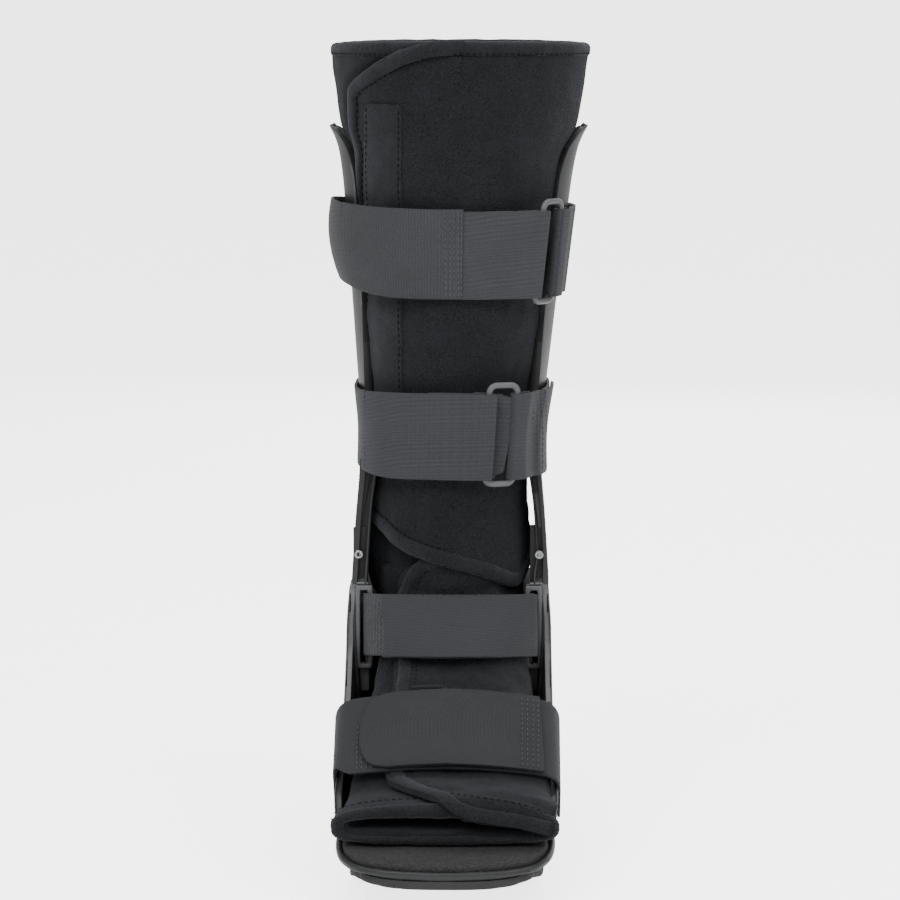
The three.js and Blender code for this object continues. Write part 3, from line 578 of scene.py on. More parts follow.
shellMaterial = mouldedPlastic("satinShell", (0.0145, 0.0149, 0.0155), (0.0225, 0.023, 0.0237),
                               (0.085, 0.086, 0.088), 0.44)
# Paler copy of the shell plastic, laid on the faces turned to the front: painted light
paintedLitFrontMaterial = mouldedPlastic("paintedLitFront", (0.06, 0.0615, 0.064), (0.085, 0.087, 0.09),
                                (0.16, 0.162, 0.166), 0.42)
# Darker copy of the shell plastic for faces turned to the leg and for the channel floor: painted shade
paintedShadeMaterial = mouldedPlastic("paintedShadeInside", (0.006, 0.006, 0.0064), (0.011, 0.011, 0.0116),
                               (0.03, 0.03, 0.03), 0.6)
soleMaterial = mouldedPlastic("soleRubber", (0.016, 0.016, 0.017), (0.03, 0.03, 0.031),
                              (0.07, 0.07, 0.07), 0.8, 900, 0.1)
insoleMaterial = crumbFoam("crumbInsole")
linerMaterial = pileFabric("loopFleece", (0.0012, 0.0013, 0.0016), (0.0158, 0.0171, 0.0197))
flapMaterial = pileFabric("loopFleeceFlap", (0.0012, 0.0013, 0.0016), (0.0158, 0.0171, 0.0197), 1450)
bindingMaterial = pileFabric("boundEdge", (0.0016, 0.0018, 0.0022), (0.0185, 0.0198, 0.0224), 1700, 0.4,
                             0.12)
threadMaterial = pileFabric("thread", (0.001, 0.001, 0.0013), (0.004, 0.0042, 0.0048), 2000, 0.1, 0.02)
webMaterial = wovenTape("smoothWebbing", (0.015, 0.0158, 0.0181), (0.033, 0.0346, 0.039), 1.1, 1.5, 0.1,
                        0.8, 0.08)
hookMaterial = wovenTape("ribbedWebbing", (0.0125, 0.0132, 0.015), (0.0335, 0.0352, 0.0392), 1.75, 1.2,
                         0.0, 0.35, 0.2)
# Darker copy of the calf straps' smooth webbing for the ankle strap: painted shade, as the light falls
# off lower down
ankleShadedWebMaterial = wovenTape("ankleWebbingPaintedShade", (0.0122, 0.0129, 0.0148), (0.0255, 0.0268, 0.0304), 1.1, 1.5,
                          0.1, 0.8, 0.08)
# Darker copy of the ribbed webbing for the forefoot tab and strap: painted shade, as the light falls off
# lower down
forefootShadedWebMaterial = wovenTape("forefootWebbingPaintedShade", (0.0085, 0.009, 0.0103), (0.0185, 0.0194, 0.0219), 1.75,
                             1.2, 0.0, 0.35, 0.16)
meshMaterial = wovenTape("meshWebbing", (0.011, 0.0115, 0.013), (0.05, 0.052, 0.057), 2.6, 2.2, 0.6, 0.5,
                         0.6)
webThreadMaterial = wovenTape("strapThread", (0.035, 0.0365, 0.041), (0.06, 0.0625, 0.068), 1.0, 1.0)
ringMaterial = mouldedPlastic("ringPlastic", (0.07, 0.071, 0.073), (0.1, 0.101, 0.103), (0.3, 0.3, 0.3),
                              0.34, 1500, 0.02)
screwMaterial, screwTree, screwShader = startMaterial("brightScrew")
screwGrain = placeGroup(screwTree, grainGroup, Scale=2600, Mottle=90)
screwColour = shadeBetween(screwTree, screwGrain.outputs["Shade"], (0.2, 0.205, 0.21),
                           (0.34, 0.345, 0.35))
screwTree.links.new(screwColour, screwShader.inputs["Base Color"])
screwShader.inputs["Metallic"].default_value = 1
screwShader.inputs["Roughness"].default_value = 0.3
bumpFrom(screwTree, screwShader, screwGrain.outputs["Height"], 0.02)
print("materials are made")


# Sole, tray and insole share one outline: share of the way from toe to heel, share of half the width
sole = {"toe": 162, "heel": 122, "half": 58, "restHalf": 65, "toeSpring": 15, "heelSpring": 10,
        "rubber": 4.5, "rim": 30, "rimDrop": 6.5, "rimDropStart": 60, "lip": 2.5, "insole": 5.5,
        "treadPitch": 15, "treadGap": 3, "treadDepth": 1.6, "spineToe": 48, "spineHeel": 40}
soleOutline = [(0, 0.0), (0.002, 0.16), (0.014, 0.52), (0.042, 0.79), (0.08, 0.912), (0.13, 0.975),
               (0.21, 1), (0.34, 0.965), (0.47, 0.9), (0.6, 0.845), (0.74, 0.795), (0.85, 0.74),
               (0.91, 0.66), (0.955, 0.52), (0.985, 0.34), (0.998, 0.12), (1, 0.0)]


def bottomAt(y):
    if y < -sole["restHalf"]:
        return sole["toeSpring"] * ((-y - sole["restHalf"]) / (sole["toe"] - sole["restHalf"])) ** 1.7
    if y > sole["restHalf"]:
        return sole["heelSpring"] * ((y - sole["restHalf"]) / (sole["heel"] - sole["restHalf"])) ** 1.7
    return 0


def rimAt(y):
    drop = max(0, (-y - sole["rimDropStart"]) / (sole["toe"] - sole["rimDropStart"]))
    return sole["rim"] - sole["rimDrop"] * drop ** 1.3


def insoleTopAt(y):
    return rimAt(y) - sole["lip"] + 0.3 + sole["insole"]


# Even places round the sole's outline, from the toe along the right side and back along the left
def outlinePlaces(inset, count):
    rows = [(i, along, half) for i, (along, half) in enumerate(soleOutline)]
    length = sole["toe"] + sole["heel"] - 2 * inset
    side = []
    for i in range(2401):
        place = i / 2400 * (len(rows) - 1)
        along, half = smoothAt(rows, place, 1), max(0, smoothAt(rows, place, 2))
        x = (sole["half"] - inset) * half
        side.append(Vector((x, -sole["toe"] + inset + length * min(1, max(0, along)), 0)))
    whole = side + [Vector((-p.x, p.y, 0)) for p in reversed(side)]
    total = lineLength(whole)
    steps = evenSteps(whole, [Vector((0, 0, 1))] * len(whole), total / count)
    return [place for place, along, out in steps][:count]


# Slab with the sole's outline. Each profile row begins with the share of the way out from the middle
# line and the set-in; heightAt turns the rest of the row and a place along the sole into a height
def soleSlab(name, profile, heightAt, count=640):
    edges = {}

    def placeAt(u, v):
        share, inset, *levels = profile[round(v * (len(profile) - 1))]
        if inset not in edges:
            edges[inset] = outlinePlaces(inset, count)
        edge = edges[inset][round(u * count) % count]
        spineY = min(sole["heel"] - sole["spineHeel"], max(-sole["toe"] + sole["spineToe"], edge.y))
        x, y = edge.x * share, mix(spineY, edge.y, share)
        return x, y, heightAt(y, *levels)
    return layGrid(name, placeAt, count, len(profile) - 1, closed=True)


def treadAt(y):
    beyond = abs(y) - sole["treadPitch"] / 2
    if beyond < 0 or abs(y) > (sole["toe"] if y < 0 else sole["heel"]) - 6:
        return 0
    away = abs((beyond % sole["treadPitch"]) - sole["treadGap"] / 2)
    return sole["treadDepth"] * min(1, max(0, (sole["treadGap"] / 2 + 0.3 - away) / 0.7))


# The last two columns: height above the sole's bottom, share of the tread's depth
outsole = soleSlab("outsole_tread", [
    (0.0, 4, 0, 1), (0.5, 4, 0, 1), (0.85, 2, 0, 1), (0.97, 1.2, 0, 1), (1, 0.9, 0.15, 1),
    (1, 0.3, 0.6, 1), (1, 0, 1.4, 0.6), (1, 0, 2.8, 0), (1, 0.1, 4.0, 0), (1, 0.5, 4.5, 0),
    (0.9, 2, 4.5, 0), (0.0, 4, 4.5, 0)],
    lambda y, rise, tread: bottomAt(y) + rise + treadAt(y) * tread)

# The last two columns: share of the way from the tray's bottom to its rim, height above that
trayBottom = sole["rubber"] + 0.3
tray = soleSlab("shell_tray", [
    (0.0, 4, 0, 0), (0.9, 2, 0, 0), (1, 1.3, 0, 0), (1, 0.7, 0, 0.5), (1, 0.6, 0, 1.4), (1, 0.6, 0.45, 0),
    (1, 0.9, 0.7, 0), (1, 0.9, 1, -4.0), (1, 0.3, 1, -3.2), (1, 0, 1, -2.4), (1, 0, 1, -0.9),
    (1, 0.4, 1, -0.25), (1, 1.1, 1, 0), (1, 2.1, 1, -0.1), (1, 2.8, 1, -0.6), (1, 3, 1, -sole["lip"]),
    (0.9, 4, 1, -sole["lip"]), (0.0, 4, 1, -sole["lip"])],
    lambda y, level, rise: mix(bottomAt(y) + trayBottom, rimAt(y), level) + rise)


# Towards the toe the lower sides draw inwards and curve up a little, in the rubber and in the tray
def tuckToe(piece, whole):
    for point in piece.data.vertices:
        x, y, z = point.co / mm
        low = bottomAt(y) + trayBottom
        share = 1 if whole else min(1, max(0, (rimAt(y) - 3 - z) / (rimAt(y) - 3 - low)))
        out = min(1, abs(x) / sole["half"])
        toe = ease(-15, -120, y)
        teeth = max(0, math.sin(30 * math.atan2(x, -y - 92)))
        notch = 0.7 * teeth * (out > 0.4) * ease(-60, -80, y) * whole
        inwards = 7.8 * toe * share * out ** 1.6 + notch
        point.co.x -= math.copysign(min(abs(x), inwards), x) * mm
        point.co.z += 8.2 * ease(-62, -140, y) * share * out ** 3.2 * mm


tuckToe(tray, False)
tuckToe(outsole, True)
finishPiece(outsole, soleMaterial, ["outsole"], sharp=32)

# The last column: depth below the insole's top
insole = soleSlab("insole_pad", [
    (0.0, 6, sole["insole"]), (1, 4.2, sole["insole"]), (1, 3.5, 4.8), (1, 3.3, 3.1), (1, 3.6, 1.6),
    (1, 4.4, 0.6), (1, 5.8, 0.15), (0.96, 6, 0.05), (0.8, 6, 0), (0.4, 6, 0), (0.0, 6, 0)],
    lambda y, depth: insoleTopAt(y) - depth, 420)
for point in insole.data.vertices:
    y = point.co.y / mm
    narrow = 5.3 * ease(-0.72 * sole["toe"], -0.6 * sole["toe"], y)
    half = max(1, abs(point.co.x) / mm)
    point.co.x *= 1 - narrow / 50 * min(1, half / 20)
    point.co.y = min(point.co.y, (sole["heel"] - 8.4) * mm)
crumple(insole, 0.5, 14, 3)
finishPiece(insole, insoleMaterial, ["insole"])
print("sole, tray and insole are made")


# Shell wall from the ear beside the forefoot round to the heel. Columns: place, y low and high,
# half width low and high, height of the top edge
shellSettings = {"wall": 3.2, "slotX": 49.8, "slotLow": 100.4, "slotHigh": 140.4}
wallRows = [
    (0, -97, -99, 56, 58, 38.6), (1, -84, -88, 55.4, 58.9, 47.2), (2, -65, -66, 54.5, 58.6, 53),
    (3, -42, -40.5, 52.5, 57.7, 61.5), (4, -16.2, -13, 50.5, 57.1, 85.8),
    (5, 2.4, 5.5, 49.3, 56.6, 111.5), (6, 13.4, 13.4, 48.7, 55.4, 143), (7, 36.6, 36.6, 47, 55.1, 143),
    (8, 58.6, 58.6, 45.5, 55, 143), (9, 78, 78, 43.8, 54, 143), (10, 95.2, 92.7, 39.4, 49.3, 141),
    (11, 108.6, 105, 30.2, 39.4, 134.4), (12, 116.5, 112.9, 16.2, 22, 124.4), (13, 119, 115.9, 0, 0, 120)]
wallSpan = len(wallRows) - 1


def wallPoint(u, v):
    place = (1 - abs(2 * u - 1)) * wallSpan
    side = 1 if u <= 0.5 else -1
    yLow, yHigh, low, high, top = (smoothAt(wallRows, place, k) for k in range(1, 6))
    base = rimAt(yLow) - sole["lip"]
    bulge = 1.2 * math.sin(v * math.pi)
    return side * (mix(low, high, v) + bulge * 0.4), mix(yLow, yHigh, v), mix(base, top, v)


wall = layGrid("shell_wall", wallPoint, 200, 26)
thicken(wall, shellSettings["wall"], -1, 0.9, 3)
# Pockets in the front edge of the wall beside the ankle flanges: inner, outer, front, back, low, high
wallPockets = [(54.8, 60, 2, 12.4, 129, 139), (56.3, 64, -14, 6, 90, 104)]
for side in (-1, 1):
    for pocket in wallPockets:
        cutter = sideBox("pocket_cutter", side, *pocket)
        addModifier(wall, "BOOLEAN", operation="DIFFERENCE", object=cutter, solver="EXACT")
        applyAll(wall)
        bpy.data.objects.remove(cutter)
# Raised bead that follows the top edge of the wall on its outer side
beadSettings = {"at": 0.965, "steps": 160, "wide": 3.4, "proud": 0.9}
beadPath, beadOut = [], []
for i in range(beadSettings["steps"] + 1):
    u = i / beadSettings["steps"]
    top = Vector(wallPoint(u, beadSettings["at"]))
    ahead = (Vector(wallPoint(min(1, u + 0.01), beadSettings["at"]))
             - Vector(wallPoint(max(0, u - 0.01), beadSettings["at"])))
    out = ahead.cross(Vector(wallPoint(u, 1)) - Vector(wallPoint(u, 0.9))).normalized()
    if out.dot(Vector((top.x, top.y - 40, 0))) < 0:
        out.negate()
    beadPath.append(top)
    beadOut.append(out)
bead = tapeAlong("shell_bead", beadPath, beadOut, beadSettings["wide"], beadSettings["proud"])

slotFrameSettings = {"inwards": 2.4, "halfWide": 3.5, "taller": 2.2, "band": 3.2, "y": 11.6, "depth": 5.6,
                     "corner": 0.16, "section": 0.55}


# Rounded rectangular frame about a slot, facing the front
def slotFrame(name, middleX, middleZ, halfTall):
    halfWide, half = slotFrameSettings["halfWide"], slotFrameSettings["band"] / 2
    corner, section = slotFrameSettings["corner"], slotFrameSettings["section"]

    def placeAt(u, v):
        turn = u * 2 * math.pi
        ux, uz = math.cos(turn), math.sin(turn)
        sx = signedPower(ux, corner) if abs(ux) > 1e-9 else 0
        sz = signedPower(uz, corner) if abs(uz) > 1e-9 else 0
        cross = v * 2 * math.pi
        wide = half * signedPower(math.cos(cross), section)
        deep = slotFrameSettings["depth"] / 2 * signedPower(math.sin(cross), section)
        x, z = middleX + sx * (halfWide + wide), middleZ + sz * (halfTall + wide)
        return x, slotFrameSettings["y"] + deep, z
    piece = layGrid(name, placeAt, 96, 16, closed=True)
    turnOutwards(piece)
    return piece


# Flange plates below and beside the slot, the return to the wall, and the tongue behind the upright:
# inner, outer, front, back, low, high, edge
shellBlocks = {
    "flange_low": (44.5, 54.6, 12.9, 16.6, 83, 98.2, 1.1),
    "flange_side": (52.9, 55.2, 13.4, 22.6, 84, 143, 0.8),
    "flange_inner": (44.5, 46.8, 13.5, 16.6, 96, 143, 0.7),
    "tongue": (45.2, 52.0, 16.9, 19.9, 136, 177, 0.7),
    "flange_cap": (45.0, 54.9, 12.2, 17.4, 141.6, 145.4, 0.9),
    "side_rib": (54.2, 56.9, 12.4, 15.0, 88, 126, 0.8),
}
shellParts = [tray, wall, bead]
slotMiddle = (shellSettings["slotLow"] + shellSettings["slotHigh"]) / 2
slotHalf = (shellSettings["slotHigh"] - shellSettings["slotLow"]) / 2
for side, sideName in ((-1, "left"), (1, "right")):
    shellParts.append(slotFrame("slot_frame_" + sideName,
                                side * (shellSettings["slotX"] - slotFrameSettings["inwards"]),
                                slotMiddle, slotHalf + slotFrameSettings["taller"]))
    for blockName, (*box, edge) in shellBlocks.items():
        shellParts.append(roundEdges(sideBox(blockName + "_" + sideName, side, *box), edge))
shell = joinPieces("foot_shell_moulding", shellParts)
finishPiece(shell, shellMaterial, ["foot_shell"], sharp=35)
# The front faces of the flanges and the wall take a paler copy of the shell plastic: painted light on the
# faces turned to the front
shell.data.materials.append(paintedLitFrontMaterial)
for face in shell.data.polygons:
    if face.normal.y < -0.35 and face.center.z > 82 * mm and face.center.y < 14 * mm:
        face.material_index = 1
print("shell is made")

# Leg axis leans a little to the right above the ankle
legSettings = {"axisY": 52, "lean": 6, "leanStart": 198, "height": 446}


def leanAt(z):
    start, top = legSettings["leanStart"], legSettings["height"]
    return legSettings["lean"] * max(0, (z - start) / (top - start))


# Upright: share of the way up, half width of the boot there, front and back reach from the leg axis,
# sag of the edges. The right one stands a little further out low down
uprightSettings = {"bottom": 143.3, "top": 398.5, "plate": 3.2, "rightSpread": 1.3}
uprightRows = [
    (0, 55, 37.1, 25.9, 1.1), (0.149, 52.6, 36, 24.1, 1.4), (0.247, 50.6, 34, 24.1, 3.0),
    (0.341, 50.2, 32, 24.8, 3.6), (0.438, 53.2, 30, 25.9, 4.6), (0.638, 58.0, 28, 29.9, 6.6),
    (0.834, 62.9, 26, 32.4, 7.4), (0.896, 64.7, 24, 31.7, 7.4), (0.947, 67.0, 19, 28, 5.8),
    (0.975, 69.4, 13.5, 22, 3.6), (0.992, 71.6, 7.5, 13.5, 1.6), (1, 72.6, 2.5, 5, 0.6)]


def uprightShare(z):
    return (z - uprightSettings["bottom"]) / (uprightSettings["top"] - uprightSettings["bottom"])


def uprightHalfAt(z):
    return smoothAt(uprightRows, uprightShare(z), 1)


# Faces that look at the leg, and the floor of the front channel, take a darker copy of the plastic:
# painted shade where the leg and the channel walls keep the light off
def paintShadeInside(piece, side):
    piece.data.materials.append(paintedShadeMaterial)
    for face in piece.data.polygons:
        x, y, z = face.center / mm
        outer = uprightHalfAt(z)
        inset = outer - side * (x - leanAt(z))
        floor = face.normal.y < -0.5 and z < 212 and 2.6 < inset < 8.2 and y > 14.2
        if face.normal.x * side < -0.35 or floor:
            face.material_index = 1


# Front channel that runs down to the joint: two ribs with a sunk floor between them.
# Columns: share of the way across, depth
channelSettings = {"low": 144.2, "high": 214, "wide": 8.8, "rightWide": 5.9, "sheet": 1.2, "floor": 0.6}
channelRows = [(0, 4.6), (0, 0.5), (0.06, 0), (0.13, 0), (0.19, 0.5), (0.2, 3.2), (0.6, 3.2), (0.61, 0.4),
               (0.66, 0), (0.94, 0), (1, 0.6), (1, 4.6)]
lipSettings = {"low": 214, "high": 300, "fadeFrom": 262, "sheet": 2.2, "inset": 2.6, "wide": 3.6,
               "deep": 3.2}


def uprightPiece(side, sideName):
    lowSpread = uprightSettings["rightSpread"] if side > 0 else 0

    def placeAt(u, v):
        up = 1 - (1 - v) ** 1.25
        half, front, back, sag = (smoothAt(uprightRows, up, k) for k in range(1, 5))
        t = 2 * u - 1
        z = mix(uprightSettings["bottom"], uprightSettings["top"], up)
        half += lowSpread * ease(235, 205, z)
        reach = front if t < 0 else back
        return leanAt(z) + side * (half - sag * t * t), legSettings["axisY"] + reach * t, z
    plate = layGrid("upright_" + sideName, placeAt, 30, 90, flip=side < 0)
    thicken(plate, uprightSettings["plate"], -1, 0.8, 3)

    # Inner lip along the front edge, which makes the channel that shows below the lower calf strap
    def lipAt(u, v):
        z = mix(lipSettings["low"], lipSettings["high"], v)
        half, front, back, sag = (smoothAt(uprightRows, uprightShare(z), k) for k in range(1, 5))
        fade = ease(lipSettings["high"], lipSettings["fadeFrom"], z)
        inwards = lipSettings["inset"] + u * (lipSettings["wide"] * fade + 0.6)
        y = legSettings["axisY"] - front + 2.2 + u * lipSettings["deep"]
        return leanAt(z) + side * (half - sag - inwards), y, z
    lip = layGrid("lip_" + sideName, lipAt, 4, 40, flip=side > 0)
    thicken(lip, lipSettings["sheet"], 0, 0.6, 2)

    def channelAt(u, v):
        low, high = channelSettings["low"], channelSettings["high"]
        z = mix(low, high, v)
        share, depth = channelRows[round(u * (len(channelRows) - 1))]
        outer = uprightHalfAt(z) - 0.4 + lowSpread
        lastWide = channelSettings["rightWide" if side > 0 else "wide"]
        wide = mix(channelSettings["wide"], lastWide, ease(146, 164, z)) + 1.2 * ease(188, 212, z)
        front = mix(12.2, 17.0, ease(160, 212, z))
        closing = max(ease(3.5, 0, z - low), ease(6, 0, high - z))
        deep = mix(depth, min(depth, channelSettings["floor"]), closing * (depth < 4))
        return side * (outer - wide * (1 - share)), front + deep, z
    gutter = layGrid("gutter_" + sideName, channelAt, len(channelRows) - 1, 60, flip=side < 0)
    thicken(gutter, channelSettings["sheet"], -1, 0.3, 2)
    joint = sideBox("joint_" + sideName, side, 45.4, 53.6, 15.2, 16.8, channelSettings["low"], 176)
    roundEdges(joint, 0.7)
    piece = joinPieces("upright_moulding_" + sideName, [plate, lip, gutter, joint])
    finishPiece(piece, shellMaterial, ["upright_" + sideName], sharp=35)
    paintShadeInside(piece, side)


screwSettings = {"x": 50.4, "z": 161, "front": 11.8, "head": 1.7, "radius": 2.4, "socket": 1.1,
                 "socketDeep": 1.2, "shank": 1.4, "shankLong": 6.6}


# Sets one face of the screw in to a radius and moves it back by a distance
def sinkFace(face, radius, distance):
    face.select = True
    bpy.ops.object.mode_set(mode="EDIT")
    bpy.ops.mesh.inset(thickness=(screwSettings["radius"] - radius) * mm)
    bpy.ops.mesh.extrude_region_move(TRANSFORM_OT_translate={"value": (0, distance * mm, 0)})
    bpy.ops.mesh.select_all(action="DESELECT")
    bpy.ops.object.mode_set(mode="OBJECT")


def screwPiece(side, sideName):
    clearSelection()
    middle = (side * screwSettings["x"], screwSettings["front"] + screwSettings["head"] / 2,
              screwSettings["z"])
    bpy.ops.mesh.primitive_cylinder_add(
        vertices=36, radius=screwSettings["radius"] * mm, depth=screwSettings["head"] * mm,
        location=Vector(middle) * mm, rotation=(math.pi / 2, 0, 0))
    screw = nameIt(bpy.context.object, "screw_head_" + sideName)
    bpy.ops.object.transform_apply(location=True, rotation=True, scale=True)
    bpy.ops.object.mode_set(mode="EDIT")
    bpy.ops.mesh.select_all(action="DESELECT")
    bpy.ops.mesh.select_mode(type="FACE")
    bpy.ops.object.mode_set(mode="OBJECT")
    front = min(screw.data.polygons, key=lambda face: face.center.y)
    sinkFace(front, screwSettings["socket"], screwSettings["socketDeep"])
    back = max(screw.data.polygons, key=lambda face: face.center.y if face.area > 1e-5 else -1)
    sinkFace(back, screwSettings["shank"], screwSettings["shankLong"])
    addModifier(screw, "BEVEL", width=0.35 * mm, segments=3, limit_method="ANGLE")
    applyAll(screw)
    finishPiece(screw, screwMaterial, ["screw_" + sideName], sharp=30)


for side, sideName in ((-1, "left"), (1, "right")):
    uprightPiece(side, sideName)
    screwPiece(side, sideName)
print("uprights and screws are made")


# Padded liner. Leg form: height, half width, front reach and back reach from the leg's axis
legRows = [
    (31, 35.8, 53.3, 48.4), (60, 39.7, 53.3, 53.3), (100, 40.8, 52.4, 52.1), (150, 41, 52.1, 49.6),
    (181, 42.5, 53, 50.8), (206, 43.6, 54.9, 52.4), (230, 45.5, 56.4, 54.9), (255, 47.5, 58, 57.4),
    (306, 52.6, 61, 61), (356, 57.2, 62, 62.9), (372, 58.1, 62.3, 62.9), (385, 59.9, 62.6, 62.9),
    (398, 65.4, 62.6, 62.6), (420, 69.4, 62.4, 62.4), (446, 71.8, 62, 62)]
linerSettings = {"wall": 7, "under": 4.4, "flap": 3.8, "flapLeft": -89, "flapRight": 117, "bottom": 136,
                 "top": 438, "puff": 1.5, "flapPuff": 0.55, "crease": 0.7}
strapZones = ((206, 256), (306, 356))


def legPoint(degrees, z, offset=0):
    half, front, back = (smoothAt(legRows, z, k) + offset for k in (1, 2, 3))
    a = math.radians(degrees)
    reach = front if math.cos(a) > 0 else back
    half += 5.2 * max(0, -math.sin(a)) ** 3 * ease(206, 188, z) * ease(126, 144, z)
    return Vector((leanAt(z) + half * math.sin(a), legSettings["axisY"] - reach * math.cos(a), z))


def legOut(degrees, z):
    aside = legPoint(degrees + 1, z) - legPoint(degrees - 1, z)
    upward = legPoint(degrees, z + 1) - legPoint(degrees, z - 1)
    return aside.cross(upward).normalized()


def angleAtX(x, z):
    return math.degrees(math.asin(max(-0.999, min(0.999, (x - leanAt(z)) / smoothAt(legRows, z, 1)))))


# The fabric swells a little where no strap holds it down
def swellAt(z):
    away = min(max(low - z, z - high, 0) for low, high in strapZones)
    return linerSettings["puff"] * ease(0, 10, away) * (1 - 0.55 * ease(10, 40, away))


# Left edge of the over-flap at each height
flapLeftRows = [
    (136, -58), (176, -62), (184, -79), (194, -86.5), (206, -88.5), (220, -86.5), (250, -82), (300, -77),
    (340, -74), (360, -72.5), (373, -71), (385, -68.5), (398, -65.5), (408, -63), (418, -61.8),
    (424.4, -56), (428, -50), (433.6, -40), (438, -30), (446, -30)]


# Under the over-flap the tube lies further in
def underDrop(degrees, z):
    left = smoothAt(flapLeftRows, z, 1)
    intoFlap = ease(left - 9, left + 3, degrees)
    outOfFlap = 1 - ease(linerSettings["flapRight"] + 2, linerSettings["flapRight"] + 20, degrees)
    return -linerSettings["under"] * min(intoFlap, outOfFlap)


def tubePoint(u, v):
    degrees = -180 + 360 * u
    z = mix(linerSettings["bottom"], linerSettings["top"], v)
    tuck = -2.2 * (1 - ease(138, 156, z))
    covered = ease(-100, -88, degrees) * ease(128, 116, degrees)
    offset = underDrop(degrees, z) + swellAt(z) * (1 - 0.8 * covered) + tuck
    a = math.radians(degrees)
    ripple = noise.noise(Vector((math.sin(a) * 2.2, math.cos(a) * 2.2, z / 30)))
    offset += 1.6 * ease(-50, -80, degrees) * ease(-150, -105, degrees) * ease(186, 172, z)
    return legPoint(degrees, z, offset + ripple * 1.1)


legTube = layGrid("leg_tube", tubePoint, 180, 110, closed=True)
thicken(legTube, linerSettings["wall"] - 0.5, -1, 1.5, 3)
crumple(legTube, linerSettings["crease"], 12, 1)
finishPiece(legTube, linerMaterial, ["liner_leg"], sharp=60)

# Over-flap of the leg part: angle, bottom edge, top edge
flapRows = [
    (-89, 204, 209), (-88, 199, 213), (-86.5, 194, 220), (-84, 190, 236), (-82, 187, 250),
    (-80, 184.5, 268), (-77, 181.8, 300), (-74, 180.3, 340), (-72.5, 179.8, 360), (-71, 179.3, 373),
    (-68.5, 178.4, 385), (-65.5, 177.4, 398), (-63, 176.6, 408), (-61.8, 176, 418), (-56, 174.2, 424.4),
    (-50, 172.2, 428), (-40, 168, 433.6), (-33, 165.5, 436.6), (-27.7, 163.6, 437.5), (-15, 160.3, 437.5),
    (-4, 157.8, 437.5), (10, 154.6, 437.5), (25, 150.7, 437.5), (37, 146.5, 437.5), (46, 143.2, 437.5),
    (52, 142.2, 437.5), (58, 142.6, 437.5), (66, 146, 437.5), (80, 156, 437.5), (97, 172, 437.5),
    (117, 184, 437.5)]


# How far the over-flap stands off the leg's form: its waves and its share of the swell
def flapStand(degrees, z):
    broad = 0.5 * noise.noise(Vector((degrees / 20, z / 34, 3.1)))
    fine = 0.35 * noise.noise(Vector((degrees / 8, z / 15, 9)))
    return broad + fine + swellAt(z) * linerSettings["flapPuff"]


# The lower edge lifts off where it hangs free
def flapLift(degrees, z):
    low = smoothAt(flapRows, degrees, 1)
    rise = 1.1 * (1 - ease(0, 26, z - low)) * ease(200, 170, low)
    return rise + 4.6 * ease(192, 166, z) * ease(-62, -34, degrees) * ease(100, 70, degrees)


def flapPoint(u, v):
    degrees = mix(linerSettings["flapLeft"], linerSettings["flapRight"], u ** 1.15)
    low, high = smoothAt(flapRows, degrees, 1), smoothAt(flapRows, degrees, 2)
    z = mix(low, high, v)
    return legPoint(degrees, z, flapStand(degrees, z) + flapLift(degrees, z))


legFlap = layGrid("leg_overflap", flapPoint, 150, 130)
thicken(legFlap, linerSettings["flap"], -1, 1.5, 4)
finishPiece(legFlap, flapMaterial, ["leg_flap"], sharp=60)
print("leg liner and its over-flap are made")


# Smooth path through angle and height points, moved inwards from the edge by a distance
def legPath(points, inside, lift):
    scale = math.radians(1) * 56
    rows = [(i, p[0] * scale, p[1]) for i, p in enumerate(points)]
    steps = [i / 20 for i in range(20 * (len(points) - 1) + 1)]
    flat = [Vector((smoothAt(rows, step, 1), smoothAt(rows, step, 2), 0)) for step in steps]
    path, outward = [], []
    for place, along, up in evenSteps(flat, [Vector((0, 0, 1))] * len(flat), 2.2):
        spot = place + up.cross(along) * inside
        degrees, z = spot.x / scale, spot.y
        overRim = 1.9 * ease(430, 437, z) * ease(0, -14, degrees) - 0.8 * ease(-8, 0, degrees)
        path.append(legPoint(degrees, z, lift + flapStand(degrees, z) + flapLift(degrees, z) + overRim))
        outward.append(legOut(degrees, z))
    return path, outward


flapEdge = [(2, 446.6), (-8, 446.0), (-15, 444.8), (-26, 441), (-40, 433.6), (-50, 428), (-56, 424.4),
            (-61.8, 418), (-63, 408), (-65.5, 398), (-68.5, 385), (-71, 373), (-72.5, 360), (-74, 340),
            (-77, 300), (-82, 250), (-86.5, 220), (-88.5, 206), (-87.6, 199), (-84, 190), (-80, 184),
            (-73, 179.8), (-66, 177.5), (-51.5, 172.7), (-40, 168), (-27.7, 163.6), (-15, 160.3),
            (-4, 157.8), (10, 154.6), (25, 150.7), (37, 146.5), (46, 143.2), (52, 142.2), (58, 142.6),
            (66, 146), (80, 156), (97, 172), (114, 183)]
bindingSettings = {"width": 8.4, "height": 1.8, "inside": 4.2, "stitchInside": 8.6, "thread": 0.75,
                   "stitch": 2.6, "gap": 1.0}
bindPath, bindOut = legPath(flapEdge, bindingSettings["inside"], 0.1)
flapBinding = tapeAlong("flap_binding", bindPath, bindOut, bindingSettings["width"],
                        bindingSettings["height"])
edgePath, edgeOut = legPath(flapEdge[3:], 1.0, -1.5)
flapRoll = tapeAlong("flap_edge_roll", edgePath, edgeOut, 3.0, 2.1, sink=1)
flapBinding = joinPieces("flap_binding", [flapBinding, flapRoll])
crumple(flapBinding, 0.35, 5, 4)
finishPiece(flapBinding, bindingMaterial, sharp=60)

# Strip sewn along the free edge of the flap
stripSettings = {"left": -45.3, "right": -25.2, "low": 205, "high": 411.5, "thick": 1.0, "corner": 2.2,
                 "stitchInside": 1.2, "stitchLow": 208, "stitchHigh": 409}


